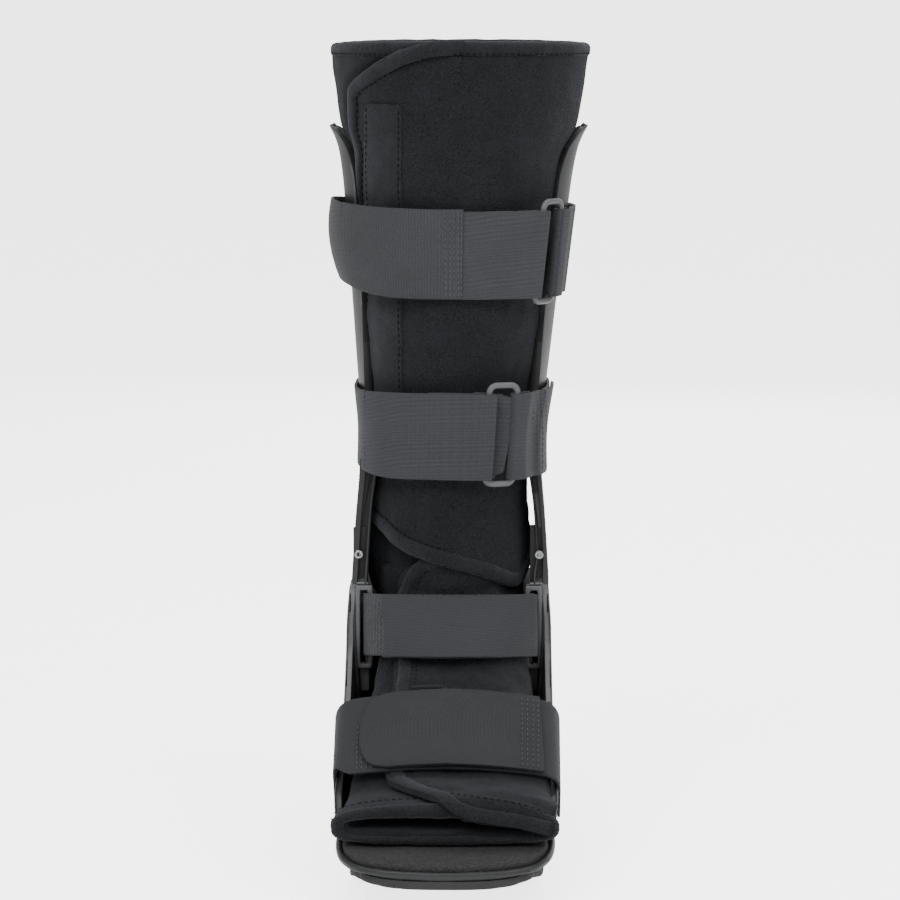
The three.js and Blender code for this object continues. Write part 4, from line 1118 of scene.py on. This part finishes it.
def stripPoint(u, v):
    z = mix(stripSettings["low"], stripSettings["high"], v)
    rounding = stripSettings["corner"] * (max(0, v - 0.985) / 0.015) ** 2
    x = mix(stripSettings["left"] + rounding, stripSettings["right"] - rounding, u)
    degrees = angleAtX(x, z)
    bow = 0.25 * math.sin(math.pi * u)
    return legPoint(degrees, z, 1.25 + bow + flapStand(degrees, z))


closureStrip = layGrid("closure_strip_sewn", stripPoint, 16, 120)
thicken(closureStrip, stripSettings["thick"], -1, 0.35, 2)
crumple(closureStrip, 0.25, 4, 6)
finishPiece(closureStrip, bindingMaterial, ["closure_strip"], sharp=60)


def stripRun(x):
    path, outward = [], []
    for i in range(81):
        z = mix(stripSettings["stitchLow"], stripSettings["stitchHigh"], i / 80)
        degrees = angleAtX(x, z)
        path.append(legPoint(degrees, z, 1.35 + flapStand(degrees, z)))
        outward.append(legOut(degrees, z))
    return path, outward


# Bound rim of the whole liner: it wraps over the top edge
rimSettings = {"middle": 441.4, "halfTall": 4.5, "sideDrop": 1.3, "proud": 0.3, "over": 1.9,
               "stitchAt": 438.6}


def rimPoint(u, v):
    degrees = -180 + 360 * u
    a = math.radians(degrees)
    turn = v * 2 * math.pi
    wide = (linerSettings["wall"] + rimSettings["over"]) / 2
    cosine, sine = math.cos(turn), math.sin(turn)
    offset = rimSettings["proud"] + 0.7 - wide + wide * signedPower(cosine, 0.75)
    z = (rimSettings["middle"] + rimSettings["halfTall"] * signedPower(sine, 0.78)
         - rimSettings["sideDrop"] * math.sin(a) ** 4)
    pucker = 0.06 * math.sin(a * 110) + 0.5 * noise.noise(Vector((degrees / 9, 2, 5)))
    return legPoint(degrees, z, offset + pucker * max(0, cosine))


rimBinding = layGrid("rim_binding_tape", rimPoint, 420, 22, closed=True)
crumple(rimBinding, 0.3, 7, 8)
finishPiece(rimBinding, bindingMaterial, ["rim_binding"], sharp=60)

rimRun, rimRunOut = [], []
for i in range(181):
    degrees = -180 + 2 * i
    rimRun.append(legPoint(degrees, rimSettings["stitchAt"], rimSettings["proud"] + 0.75))
    rimRunOut.append(legOut(degrees, rimSettings["stitchAt"]))
threadRuns = [legPath(flapEdge, bindingSettings["stitchInside"], 0.35), (rimRun, rimRunOut),
              stripRun(stripSettings["left"] + stripSettings["stitchInside"]),
              stripRun(stripSettings["right"] - stripSettings["stitchInside"])]
linerStitches = stitchRuns("liner_stitches", threadRuns, bindingSettings["stitch"],
                           bindingSettings["thread"],
                           bindingSettings["gap"])
finishPiece(linerStitches, threadMaterial, sharp=80)

# Foot part. Columns: y, half width, top
footRows = [
    (-129.6, 57.8, 52.5), (-123.1, 58.6, 53.6), (-110.2, 57.8, 54.1), (-101.3, 55.4, 54.6),
    (-90.7, 54.3, 56), (-72.9, 52.5, 68.8), (-55.1, 50.1, 85.7), (-38, 48, 95.5), (-22, 46.5, 105),
    (-9, 44, 121), (-1, 42, 138), (6, 40, 146)]


def footPoint(degrees, y, offset=0):
    half, top = smoothAt(footRows, y, 1) + offset, smoothAt(footRows, y, 2) + offset
    low = insoleTopAt(y) + 0.3 - offset
    middle = low + (top - low) * 0.42
    a = math.radians(degrees)
    cosine, sine = math.cos(a), math.sin(a)
    power = 0.5 if sine < 0 else 0.74
    reach = middle - low if sine < 0 else top - middle
    half += ease(-108, -124, y) * 2.5
    return Vector((half * signedPower(cosine, power), y, middle + reach * signedPower(sine, power)))


footSettings = {"wall": 6.6, "voxel": 2.4, "toe": -129.6, "back": 40, "heelLow": 33.2, "top": 154,
                "formTop": 196}


# The foot's tube joined with the leg's, offset from the liner's outer form
def footSolid(name, offset, top, toe=footSettings["toe"], heelLow=footSettings["heelLow"]):
    back = footSettings["back"]
    foot = layGrid(name, lambda u, v: footPoint(-360 * u, mix(toe, back, v), offset), 96, 60, closed=True)
    closeEnds(foot)
    ankle = layGrid(name + "_ankle", lambda u, v: legPoint(-180 + 360 * u, mix(heelLow, top, v), offset),
                    96, 40, closed=True)
    closeEnds(ankle)
    addModifier(foot, "BOOLEAN", operation="UNION", object=ankle, solver="EXACT")
    applyAll(foot)
    bpy.data.objects.remove(ankle)
    return foot


footBody = footSolid("foot_bootie", -1.2, footSettings["top"])
footShape = footSolid("foot_form", -0.6, footSettings["formTop"])
footHollow = footSolid("foot_hollow", -footSettings["wall"] - 1.2, footSettings["top"] + 6,
                       footSettings["toe"] - 4,
                       footSettings["heelLow"] + 5.5)
addModifier(footBody, "BOOLEAN", operation="DIFFERENCE", object=footHollow, solver="EXACT")
applyAll(footBody)
bpy.data.objects.remove(footHollow)
addModifier(footBody, "REMESH", mode="VOXEL", voxel_size=footSettings["voxel"] * mm,
            use_smooth_shade=True)
applyAll(footBody)
addModifier(footBody, "SMOOTH", factor=0.5, iterations=5)
applyAll(footBody)
crumple(footBody, 1.0, 17, 12)
crumple(footBody, 0.5, 7, 13)
addModifier(footBody, "SUBSURF", levels=1, render_levels=1)
applyAll(footBody)
finishPiece(footBody, linerMaterial, ["liner_foot"], sharp=80)
print("foot bootie is made")

# Bound mouth of the toe: a padded roll round the cut edge, with a stitched line behind it
mouthSettings = {"y": -127.6, "inside": 4.5, "across": 3.9, "deep": 3.7, "stitchY": -119.4}


def mouthPoint(u, v):
    turn = 2 * math.pi * v
    flat = 1.3 * ease(-0.1, -0.7, math.sin(math.radians(-360 * u)))
    middle = footPoint(-360 * u, mouthSettings["y"], flat - mouthSettings["inside"])
    out = (footPoint(-360 * u, mouthSettings["y"], 0) - middle).normalized()
    pucker = 0.12 * math.sin(u * 2 * math.pi * 62)
    return (middle + out * (mouthSettings["across"] - flat + pucker) * math.cos(turn)
            + Vector((0, 1, 0)) * mouthSettings["deep"] * math.sin(turn))


mouthRoll = layGrid("toe_mouth_binding", mouthPoint, 300, 20, closed=True)
crumple(mouthRoll, 0.5, 9, 15)
finishPiece(mouthRoll, bindingMaterial, sharp=80)

# Front line of the foot from the toe up the instep to the shin.
# Columns: place, y, z, half width, side drop
frontRows = [
    (0, -127, 53.2, 58, 17), (14, -113, 54.3, 57.8, 17.5), (27, -100, 55, 55.5, 18),
    (38, -89.5, 57.5, 54.2, 21), (59, -73, 69.5, 52.4, 30), (84, -55, 86.5, 50, 40),
    (104, -38, 96.3, 48, 44), (123, -22, 105.8, 46, 46), (143, -9.5, 121.5, 44, 48),
    (162, -2.5, 139, 42, 50), (178, -0.5, 155, 41.4, 51), (190, -1, 167, 41.8, 51)]


def frontPoint(x, s, offset=0):
    y, z, half, drop = (smoothAt(frontRows, s, k) for k in range(1, 5))
    along = Vector((0, smoothAt(frontRows, s + 2, 1) - smoothAt(frontRows, s - 2, 1),
                    smoothAt(frontRows, s + 2, 2) - smoothAt(frontRows, s - 2, 2))).normalized()
    out = Vector((0, -along.z, along.y))
    q = min(0.985, abs(x) / half)
    fall = drop * (1 - (1 - q ** 2.3) ** 0.52)
    return Vector((x, y, z)) + out * (offset - fall), out


# Over-flap of the foot: x of its free edge and of its right edge along the front line
footFlapRows = [(0, -7, 54.5), (9, -15, 54.5), (18, -22, 53.8), (27, -27.5, 53), (38, -31.5, 51.8),
                (50, -33.5, 50.6), (70, -34, 49.5), (95, -29.5, 47.5), (120, -27.5, 45), (145, -28, 42.5),
                (158, -29, 40.8), (165, -28.4, 40.3), (172, -26.5, 40), (178, -21.5, 39.6),
                (182, -14, 39.2), (186, -4, 39), (190, 8, 38.8)]
# How far the front edge hangs down over the mouth: x, drop
hangRows = [(-12, 1.6), (-7, 3.2), (2, 7), (10, 9.2), (18, 10.2), (33, 10.2), (49, 8), (58, 4.5)]
footFlapSettings = {"columns": 70, "rows": 150, "thick": 3.4, "last": 189, "curl": 0.12, "corner": 17,
                    "tapeTop": 147, "tapeSoft": 34, "tapeWide": 7.4, "tapeProud": 1.5, "seamRow": 88,
                    "seamStart": 8, "seamCorner": 22, "seamLow": 76}


def footFlapPoint(u, v):
    share = footFlapSettings["curl"]
    curl = max(0, share - v) / share
    s = max(0, v - share) / (1 - share) * footFlapSettings["last"]
    left, right = smoothAt(footFlapRows, s, 1), smoothAt(footFlapRows, s, 2)
    x = mix(left + footFlapSettings["corner"] * curl ** 1.4, right, 1 - (1 - u) ** 1.2)
    spot, out = frontPoint(x, s, 0.2)
    if curl:
        turn = curl * math.pi / 2
        hang = smoothAt(hangRows, x, 1)
        spot += Vector((0, -4.2 * math.sin(turn), -hang * (1 - math.cos(turn))))
    return spot


footFlap = layGrid("foot_overflap", footFlapPoint, footFlapSettings["columns"], footFlapSettings["rows"])
wrap = addModifier(footFlap, "SHRINKWRAP", target=footShape, wrap_method="NEAREST_SURFACEPOINT",
                   wrap_mode="ABOVE_SURFACE", offset=0.5 * mm)
group = footFlap.vertex_groups.new(name="onFoot")
for point in footFlap.data.vertices:
    group.add([point.index], ease(-127.5, -119, point.co.y / mm), "REPLACE")
wrap.vertex_group = "onFoot"
applyAll(footFlap)
addModifier(footFlap, "SMOOTH", factor=0.5, iterations=4)
applyAll(footFlap)
footFlap.vertex_groups.clear()
flapGrid = [point.co.copy() / mm for point in footFlap.data.vertices]
flapNormals = [point.normal.copy() for point in footFlap.data.vertices]
flapTree = BVHTree.FromPolygons(flapGrid, [tuple(face.vertices) for face in footFlap.data.polygons])
addModifier(footFlap, "SOLIDIFY", thickness=footFlapSettings["thick"] * mm, offset=1)
addModifier(footFlap, "BEVEL", width=1.4 * mm, segments=4, limit_method="ANGLE",
            angle_limit=math.radians(50))
applyAll(footFlap)
crumple(footFlap, 0.9, 16, 21)
crumple(footFlap, 0.4, 6, 22)
finishPiece(footFlap, flapMaterial, ["foot_flap"], sharp=60)


# Place and outward direction on the outer face of the foot's over-flap, by row and column of its grid
def footFlapPlace(row, column, lift=0):
    index = row * (footFlapSettings["columns"] + 1) + column
    return flapGrid[index] + flapNormals[index] * lift, flapNormals[index].copy()


# Bound edge: down the free edge, then along the front edge over the toes
def footFlapEdge(column, row, lift):
    cells = [(k, column) for k in range(footFlapSettings["tapeTop"], row + 2, -1)]
    cells += [(row, k) for k in range(column + 3, footFlapSettings["columns"])]
    path, outward = zip(*[footFlapPlace(*cell) for cell in cells])
    places = evenSteps(path, outward, 1.6)
    path, outward = [place for place, along, out in places], [out for place, along, out in places]
    for turn in range(footFlapSettings["tapeSoft"]):
        softenLine(path)
        softenLine(outward)
    laid, facing = [], []
    for place, out in zip(path, outward):
        near, normal, face, gap = flapTree.find_nearest(place)
        laid.append(near)
        facing.append(normal * math.copysign(1, normal.dot(out)))
    for turn in range(5):
        softenLine(facing)
        facing[1:-1] = [out.normalized() for out in facing[1:-1]]
    return [place + out * lift for place, out in zip(laid, facing)], facing


edgePath, edgeOut = footFlapEdge(4, 5, footFlapSettings["thick"] + 0.05)
edgeTape = tapeAlong("foot_flap_binding", edgePath, edgeOut, footFlapSettings["tapeWide"],
                     footFlapSettings["tapeProud"])
crumple(edgeTape, 0.3, 5, 31)
finishPiece(edgeTape, bindingMaterial, sharp=60)
# Seams on the instep: one across and one down from its end
seamRow, seamCorner = footFlapSettings["seamRow"], footFlapSettings["seamCorner"]
seamCells = {
    "instep_seam_across": [(seamRow, k) for k in range(footFlapSettings["seamStart"], seamCorner)],
    "instep_seam_down": [(k, seamCorner) for k in range(footFlapSettings["seamLow"], seamRow + 1)],
}
for seamName, cells in seamCells.items():
    seamPath, seamOut = zip(*[footFlapPlace(*cell, footFlapSettings["thick"] + 0.1) for cell in cells])
    ridge = tapeAlong(seamName, seamPath, seamOut, 3.0, 0.6)
    finishPiece(ridge, bindingMaterial, sharp=60)
mouthRun, mouthRunOut = [], []
for i in range(121):
    degrees = 180 - i * 0.9
    mouthRun.append(footPoint(degrees, mouthSettings["stitchY"], -0.9))
    mouthRunOut.append((mouthRun[-1] - footPoint(degrees, mouthSettings["stitchY"], -5)).normalized())
footRuns = [footFlapEdge(9, 16, footFlapSettings["thick"] + 0.3), (mouthRun, mouthRunOut)]
footStitches = stitchRuns("foot_stitches", footRuns, 2.6, 0.5, 1.0)
finishPiece(footStitches, threadMaterial, sharp=80)
bpy.data.objects.remove(footShape)
print("foot over-flap is made")


# Webbing. A strap is given by its line at each share of its width, from the lower edge up
def strapSheet(name, lineAt, columns, rows, thick, edge=0.5, flip=False):
    lines = {}

    def placeAt(u, v):
        key = round(v * rows)
        if key not in lines:
            lines[key] = lineAt(v)
        line = lines[key]
        place = u * (len(line) - 1)
        i = min(len(line) - 2, int(place))
        t = place - i
        a, b = line[max(0, i - 1)], line[i]
        c, d = line[i + 1], line[min(len(line) - 1, i + 2)]
        return (b * 2 + (c - a) * t + (a * 2 - b * 5 + c * 4 - d) * t * t
                + (b * 3 - a - c * 3 + d) * t ** 3) / 2
    piece = layGrid(name, placeAt, columns, rows, flip=flip)
    thicken(piece, thick, 0, edge, 3)
    return piece


strapSettings = {"thick": 1.7, "wide": 50, "bar": 3.4, "ringWide": 16, "corner": 4.2, "tuck": 36,
                 "anchor": 62, "gap": 0.3, "hook": 0.9}
webStitch = {"length": 2.4, "thick": 0.55, "gap": 0.9}
calfStraps = {
    "upper": {"top": 355.9, "ring": 50, "slack": 5.4, "square": 0.85, "bulge": 3.8, "liftLeft": 4.0,
              "lowLeft": 8.5, "hookFrom": -57.5, "hookTo": 7.6, "stitchAt": (-1.2, 1.0, 3.2, 5.4, 7.0),
              "anchorStitch": ()},
    "lower": {"top": 256.0, "ring": 19.5, "slack": 0, "square": 0.6, "bulge": 0.6, "liftLeft": -0.6,
              "lowLeft": 4.4, "hookFrom": -49.5, "hookTo": -44.8, "stitchAt": (-45.6,),
              "anchorStitch": (43.6, 46, 48.4, 50.4)},
}


def strapPoint(degrees, share, offset, strap):
    a = math.radians(degrees)
    left = max(0, -math.sin(a))
    z = strap["top"] - strapSettings["wide"] * (1 - share)
    half = uprightHalfAt(z) + strap["slack"] * left ** 2 + 0.3 + offset
    half += strap["bulge"] * left ** 3 * (1 - (2 * share - 1) ** 2)
    front = smoothAt(legRows, z, 2) + 1.4 + offset
    back = smoothAt(legRows, z, 3) + 0.9 + offset
    reach = front if math.cos(a) > 0 else back
    aside = signedPower(math.sin(a), strap["square"])
    ahead = signedPower(math.cos(a), strap["square"])
    z += left ** 4 * mix(strap["lowLeft"], strap["liftLeft"], share)
    return Vector((leanAt(z) + half * aside, legSettings["axisY"] - reach * ahead, z))


def strapOut(degrees, share, strap):
    above, below = min(1, share + 0.05), max(0, share - 0.05)
    aside = strapPoint(degrees + 1, share, 0, strap) - strapPoint(degrees - 1, share, 0, strap)
    upward = strapPoint(degrees, above, 0, strap) - strapPoint(degrees, below, 0, strap)
    return aside.cross(upward).normalized()


def strapAngleAt(x, share, strap):
    return placeForX(lambda angle: strapPoint(angle, share, 0, strap).x, x, -89.0, 89.0)


def ringPiece(name, centre, across, upward, facing, halfWide, halfTall):
    corner, radius = strapSettings["corner"], strapSettings["bar"] / 2
    path = []
    for sx, sy, start in ((1, 1, 0), (-1, 1, 90), (-1, -1, 180), (1, -1, 270)):
        for k in range(9):
            a = math.radians(start + k * 11.25)
            ox, oy = math.cos(a), math.sin(a)
            path.append((sx * (halfWide - corner) + corner * ox, sy * (halfTall - corner) + corner * oy,
                         ox, oy))
    stations = []
    for i, spot in enumerate(path):
        after = path[(i + 1) % len(path)]
        stations.append(spot)
        if math.hypot(after[0] - spot[0], after[1] - spot[1]) > 3:
            stations += [tuple(mix(p, q, k / 8) for p, q in zip(spot, after)) for k in range(1, 8)]
    count = len(stations)

    def placeAt(u, v):
        px, py, ox, oy = stations[round(v * count) % count]
        turn = u * 2 * math.pi
        out = across * ox + upward * oy
        flat = 0.92 * signedPower(math.sin(turn), 0.8)
        place = centre + across * px + upward * py
        return place + out * (radius * math.cos(turn)) + facing * (radius * flat)
    ring = layGrid(name, placeAt, 16, count, closed=True)
    closeEnds(ring)
    return ring


def calfStrap(key):
    strap = calfStraps[key]
    gap, thick, bar = strapSettings["gap"], strapSettings["thick"], strapSettings["bar"]
    barLift = bar / 2 + gap + thick + gap
    lay = thick / 2
    ringAngle = strap["ring"]
    near, far = (strapPoint(ringAngle + turn, 1, barLift, strap) for turn in (-1, 1))
    perDegree = (far - near).length / 2
    halfRing = strapSettings["ringWide"] / 2 / perDegree
    leftBar, rightBar = ringAngle - halfRing, ringAngle + halfRing
    corners = [strapPoint(a, s, barLift, strap) for s in (1, 0) for a in (leftBar, rightBar)]
    across = (corners[1] - corners[0] + corners[3] - corners[2]) / 2
    halfWide = across.length / 2
    upward = (corners[0] + corners[1] - corners[2] - corners[3]).normalized()
    across.normalize()
    facing = across.cross(upward).normalized()
    centre = (corners[0] + corners[1] + corners[2] + corners[3]) / 4
    foldRadius = bar / 2 + gap + thick / 2
    # After the fold the strap lies down on its own first layer: distance along, height
    barOut, onLay = barLift + bar / 2 + thick / 2, lay + thick
    lyingDown = [(6, barOut), (11, mix(barOut, onLay + 3 * gap, 0.6)), (16, onLay + 2 * gap),
                 (23, lay + thick * 0.6)]

    def lineAt(share, at, way, onward):
        barSpot = centre + across * (way * halfWide) + upward * ((share - 0.5) * strapSettings["wide"])
        fold = []
        for turn in range(-90, 91, 15):
            a = math.radians(turn)
            fold.append(barSpot - across * (way * foldRadius * math.cos(a))
                        + facing * (foldRadius * math.sin(a)))
        step = way / perDegree
        return ([strapPoint(at + d * step, share, lay, strap) for d in (14, 10, 6)] + fold
                + [strapPoint(at + d * step, share, height, strap) for d, height in lyingDown]
                + [strapPoint(degrees, share, height, strap) for degrees, height in onward])
    mainStart = leftBar - 29 / perDegree
    last = rightBar + strapSettings["tuck"] - 360
    mainOn = [(mix(mainStart, last, i / 84), lay) for i in range(85)]
    main = strapSheet("calf_strap_" + key + "_web", lambda v: lineAt(v, leftBar, -1, mainOn), 300, 12,
                      thick, flip=True)
    # The strap is a little uneven at the left of the ring only
    crumple(main, 0.5, 24, 40, where=lambda p: 1 if p.y < 20 and p.x < centre.x - 20 else 0)
    finishPiece(main, webMaterial, ["calf_strap_" + key], sharp=40)
    anchorLay = lay + thick + 2 * gap
    anchorStart = rightBar + 29 / perDegree
    anchorOn = [(mix(anchorStart, rightBar + strapSettings["anchor"], i / 20), anchorLay)
                for i in range(21)]
    anchor = strapSheet("anchor_" + key + "_web", lambda v: lineAt(v, rightBar, 1, anchorOn), 130, 10,
                        thick)
    finishPiece(anchor, webMaterial, ["anchor_" + key], sharp=40)
    ring = ringPiece("ring_" + key + "_bar", centre, across, upward, facing, halfWide,
                     strapSettings["wide"] / 2 + gap + bar / 2 + 0.6)
    finishPiece(ring, ringMaterial, ["ring_" + key], sharp=60)

    # Ribbed layer sewn on the upper strap, then the columns of stitches
    hookFrom = strapAngleAt(strap["hookFrom"], 0.5, strap)
    hookTo = strapAngleAt(strap["hookTo"], 0.5, strap)
    lift = thick + strapSettings["hook"] / 2 + 0.1
    if key == "upper":
        hook = strapSheet("hook_layer_" + key, lambda v: [
            strapPoint(mix(hookFrom, hookTo, i / 40), 0.012 + 0.976 * v, lift, strap) for i in range(41)],
            120, 24, strapSettings["hook"], 0.3)
        crumple(hook, 0.5, 24, 40)
        finishPiece(hook, hookMaterial, sharp=40)
    # Column of stitches up the strap, with a margin at both edges
    def stitchColumn(x, margin, raised):
        degrees = [strapAngleAt(x, i / 10, strap) for i in range(11)]
        step = (1 - 2 * margin) / 10
        return ([strapPoint(a, margin + step * i, raised, strap) for i, a in enumerate(degrees)],
                [strapOut(a, i / 10, strap) for i, a in enumerate(degrees)])
    raised = lift + strapSettings["hook"] / 2 if key == "upper" else thick
    runs = [stitchColumn(x, 0.03, raised) for x in strap["stitchAt"]]
    runs += [stitchColumn(x, 0.04, anchorLay + thick / 2) for x in strap["anchorStitch"]]
    stitches = stitchRuns("calf_stitches_" + key, runs, **webStitch)
    finishPiece(stitches, webThreadMaterial, sharp=80)


calfStrap("upper")
calfStrap("lower")
print("calf straps are made")

# Ankle strap: a loop strip through both slots, with the over strap on it
ankleSettings = {"topBow": 18, "lowBow": 39.5, "crownTop": 2, "crownLow": 7, "top": 139.4, "low": 104,
                 "front": 11.5, "half": 47.0, "lift": 3.6, "overFrom": -44.5, "overTo": 72.5}


def anklePoint(degrees, share, offset):
    a = math.radians(degrees)
    bow = mix(ankleSettings["lowBow"], ankleSettings["topBow"], share) + offset
    z = mix(ankleSettings["low"] + ankleSettings["crownLow"] * math.cos(a),
            ankleSettings["top"] + ankleSettings["crownTop"] * math.cos(a), share)
    half = ankleSettings["half"] + offset * abs(math.sin(a))
    return Vector((half * math.sin(a), ankleSettings["front"] - bow * math.cos(a), z))


def ankleOut(degrees, share):
    aside = anklePoint(degrees + 1, share, 0) - anklePoint(degrees - 1, share, 0)
    return aside.cross(anklePoint(degrees, 1, 0) - anklePoint(degrees, 0, 0)).normalized()


def ankleLoopLine(share):
    backs = (22.6, 18, 14)
    ends = {}
    for side in (-1, 1):
        front = anklePoint(side * 90, share, 0)
        ends[side] = [front + Vector((0, y - ankleSettings["front"], 0)) for y in backs]
    return ends[-1] + [anklePoint(-90 + 3.75 * i, share, 0) for i in range(49)] + ends[1][::-1]


ankleLoop = strapSheet("ankle_loop_web", ankleLoopLine, 200, 14, 1.7)
finishPiece(ankleLoop, meshMaterial, ["ankle_loop"])


def ankleOverLine(share):
    first, last = ankleSettings["overFrom"] + 1.5 * math.sin(5.2 * share), ankleSettings["overTo"]
    line = []
    for i in range(41):
        lift = ankleSettings["lift"] + 2.3 * ease(4, 0, i) + 0.5 * ease(36, 40, i)
        line.append(anklePoint(mix(first, last, i / 40), share, lift))
    return line


ankleOver = strapSheet("ankle_strap_web", ankleOverLine, 140, 14, 2.2)
crumple(ankleOver, 0.5, 20, 50)
finishPiece(ankleOver, ankleShadedWebMaterial, ["ankle_strap"])


def zigzag(pointAt, outAt, fromAt, toAt, turns):
    path, outward = [], []
    for i in range(turns * 2 + 1):
        share = i / (turns * 2)
        side = fromAt if i % 2 else toAt
        path.append(pointAt(side, share))
        outward.append(outAt(side, share))
    return path, outward


ankleEdge = zigzag(lambda a, s: anklePoint(a, s, ankleSettings["lift"] + 1.55), ankleOut, 68.6, 71.4, 22)
ankleStitches = stitchRuns("ankle_stitches", [ankleEdge], 1.7, 0.5, 0.25)
finishPiece(ankleStitches, webThreadMaterial, sharp=80)

# Forefoot strap: across the instep, then down outside the shell's ears. Columns: place, share of the
# half width, share of the way down
forefootRows = [(0, 0, 0), (1, 0.34, 0.02), (2, 0.64, 0.065), (3, 0.83, 0.105), (4, 0.95, 0.18),
                (5, 1, 0.32), (6, 1.005, 0.62), (7, 1.005, 0.9)]
forefootSettings = {"half": 60.2, "taper": 0.05, "slope": 42, "top": 96, "front": 55, "wide": 50,
                    "lift": 2.0, "overTo": 3.05}


def forefootPoint(place, share, lift):
    out = math.copysign(smoothAt(forefootRows, abs(place), 1), place)
    down = smoothAt(forefootRows, abs(place), 2)
    slope = math.radians(forefootSettings["slope"])
    across = forefootSettings["wide"] * (1 - share) * (1 - 0.2 * ease(2.8, 5, -place))
    taper = forefootSettings["taper"] * share * (1 - ease(0, 0.5, down))
    half = (forefootSettings["half"] * (1 - taper) + lift) * out
    fall = down * forefootSettings["wide"] - lift * (1 - abs(out)) - lift
    return Vector((half, -forefootSettings["front"] - across * math.cos(slope) + fall * math.sin(slope),
                   forefootSettings["top"] - across * math.sin(slope) - fall * math.cos(slope)))


def forefootOut(place, share):
    aside = forefootPoint(place + 0.1, share, 0) - forefootPoint(place - 0.1, share, 0)
    return aside.cross(forefootPoint(place, 1, 0) - forefootPoint(place, 0, 0)).normalized()


def tabLine(share):
    return [forefootPoint(mix(-7, 7, i / 90), share, 0) for i in range(91)]


tab = strapSheet("forefoot_tab_web", tabLine, 200, 14, 1.7)
finishPiece(tab, forefootShadedWebMaterial, ["forefoot_tab"])


# The over strap has a rounded left tip
def overLine(share):
    tip = 1 - (1 - abs(2 * share - 1) ** 1.95) ** 0.5
    first, up = mix(-2.62, -1.5, tip), 0.01 + 0.98 * share
    return [forefootPoint(mix(first, forefootSettings["overTo"], i / 60), up, forefootSettings["lift"])
            for i in range(61)]


over = strapSheet("forefoot_strap_web", overLine, 170, 28, 1.7)
crumple(over, 0.4, 18, 60)
finishPiece(over, forefootShadedWebMaterial, ["forefoot_strap"])


def forefootColumn(x, lift, high=0.97):
    path, outward = [], []
    for i in range(11):
        share = mix(0.03, high, i / 10)
        place = placeForX(lambda at: forefootPoint(at, share, 0).x, x, -7.0, 7.0)
        path.append(forefootPoint(place, share, lift))
        outward.append(forefootOut(place, share))
    return path, outward


forefootRuns = [forefootColumn(x, forefootSettings["lift"] + 0.95) for x in (38.6, 41.4, 44.2, 46.8)]
forefootRuns += [forefootColumn(x, 0.95, 0.6) for x in (-47, -44.4, -41.8, -39.4)]
forefootStitches = stitchRuns("forefoot_stitches", forefootRuns, **webStitch)
finishPiece(forefootStitches, webThreadMaterial, sharp=80)
print("ankle and forefoot straps are made")
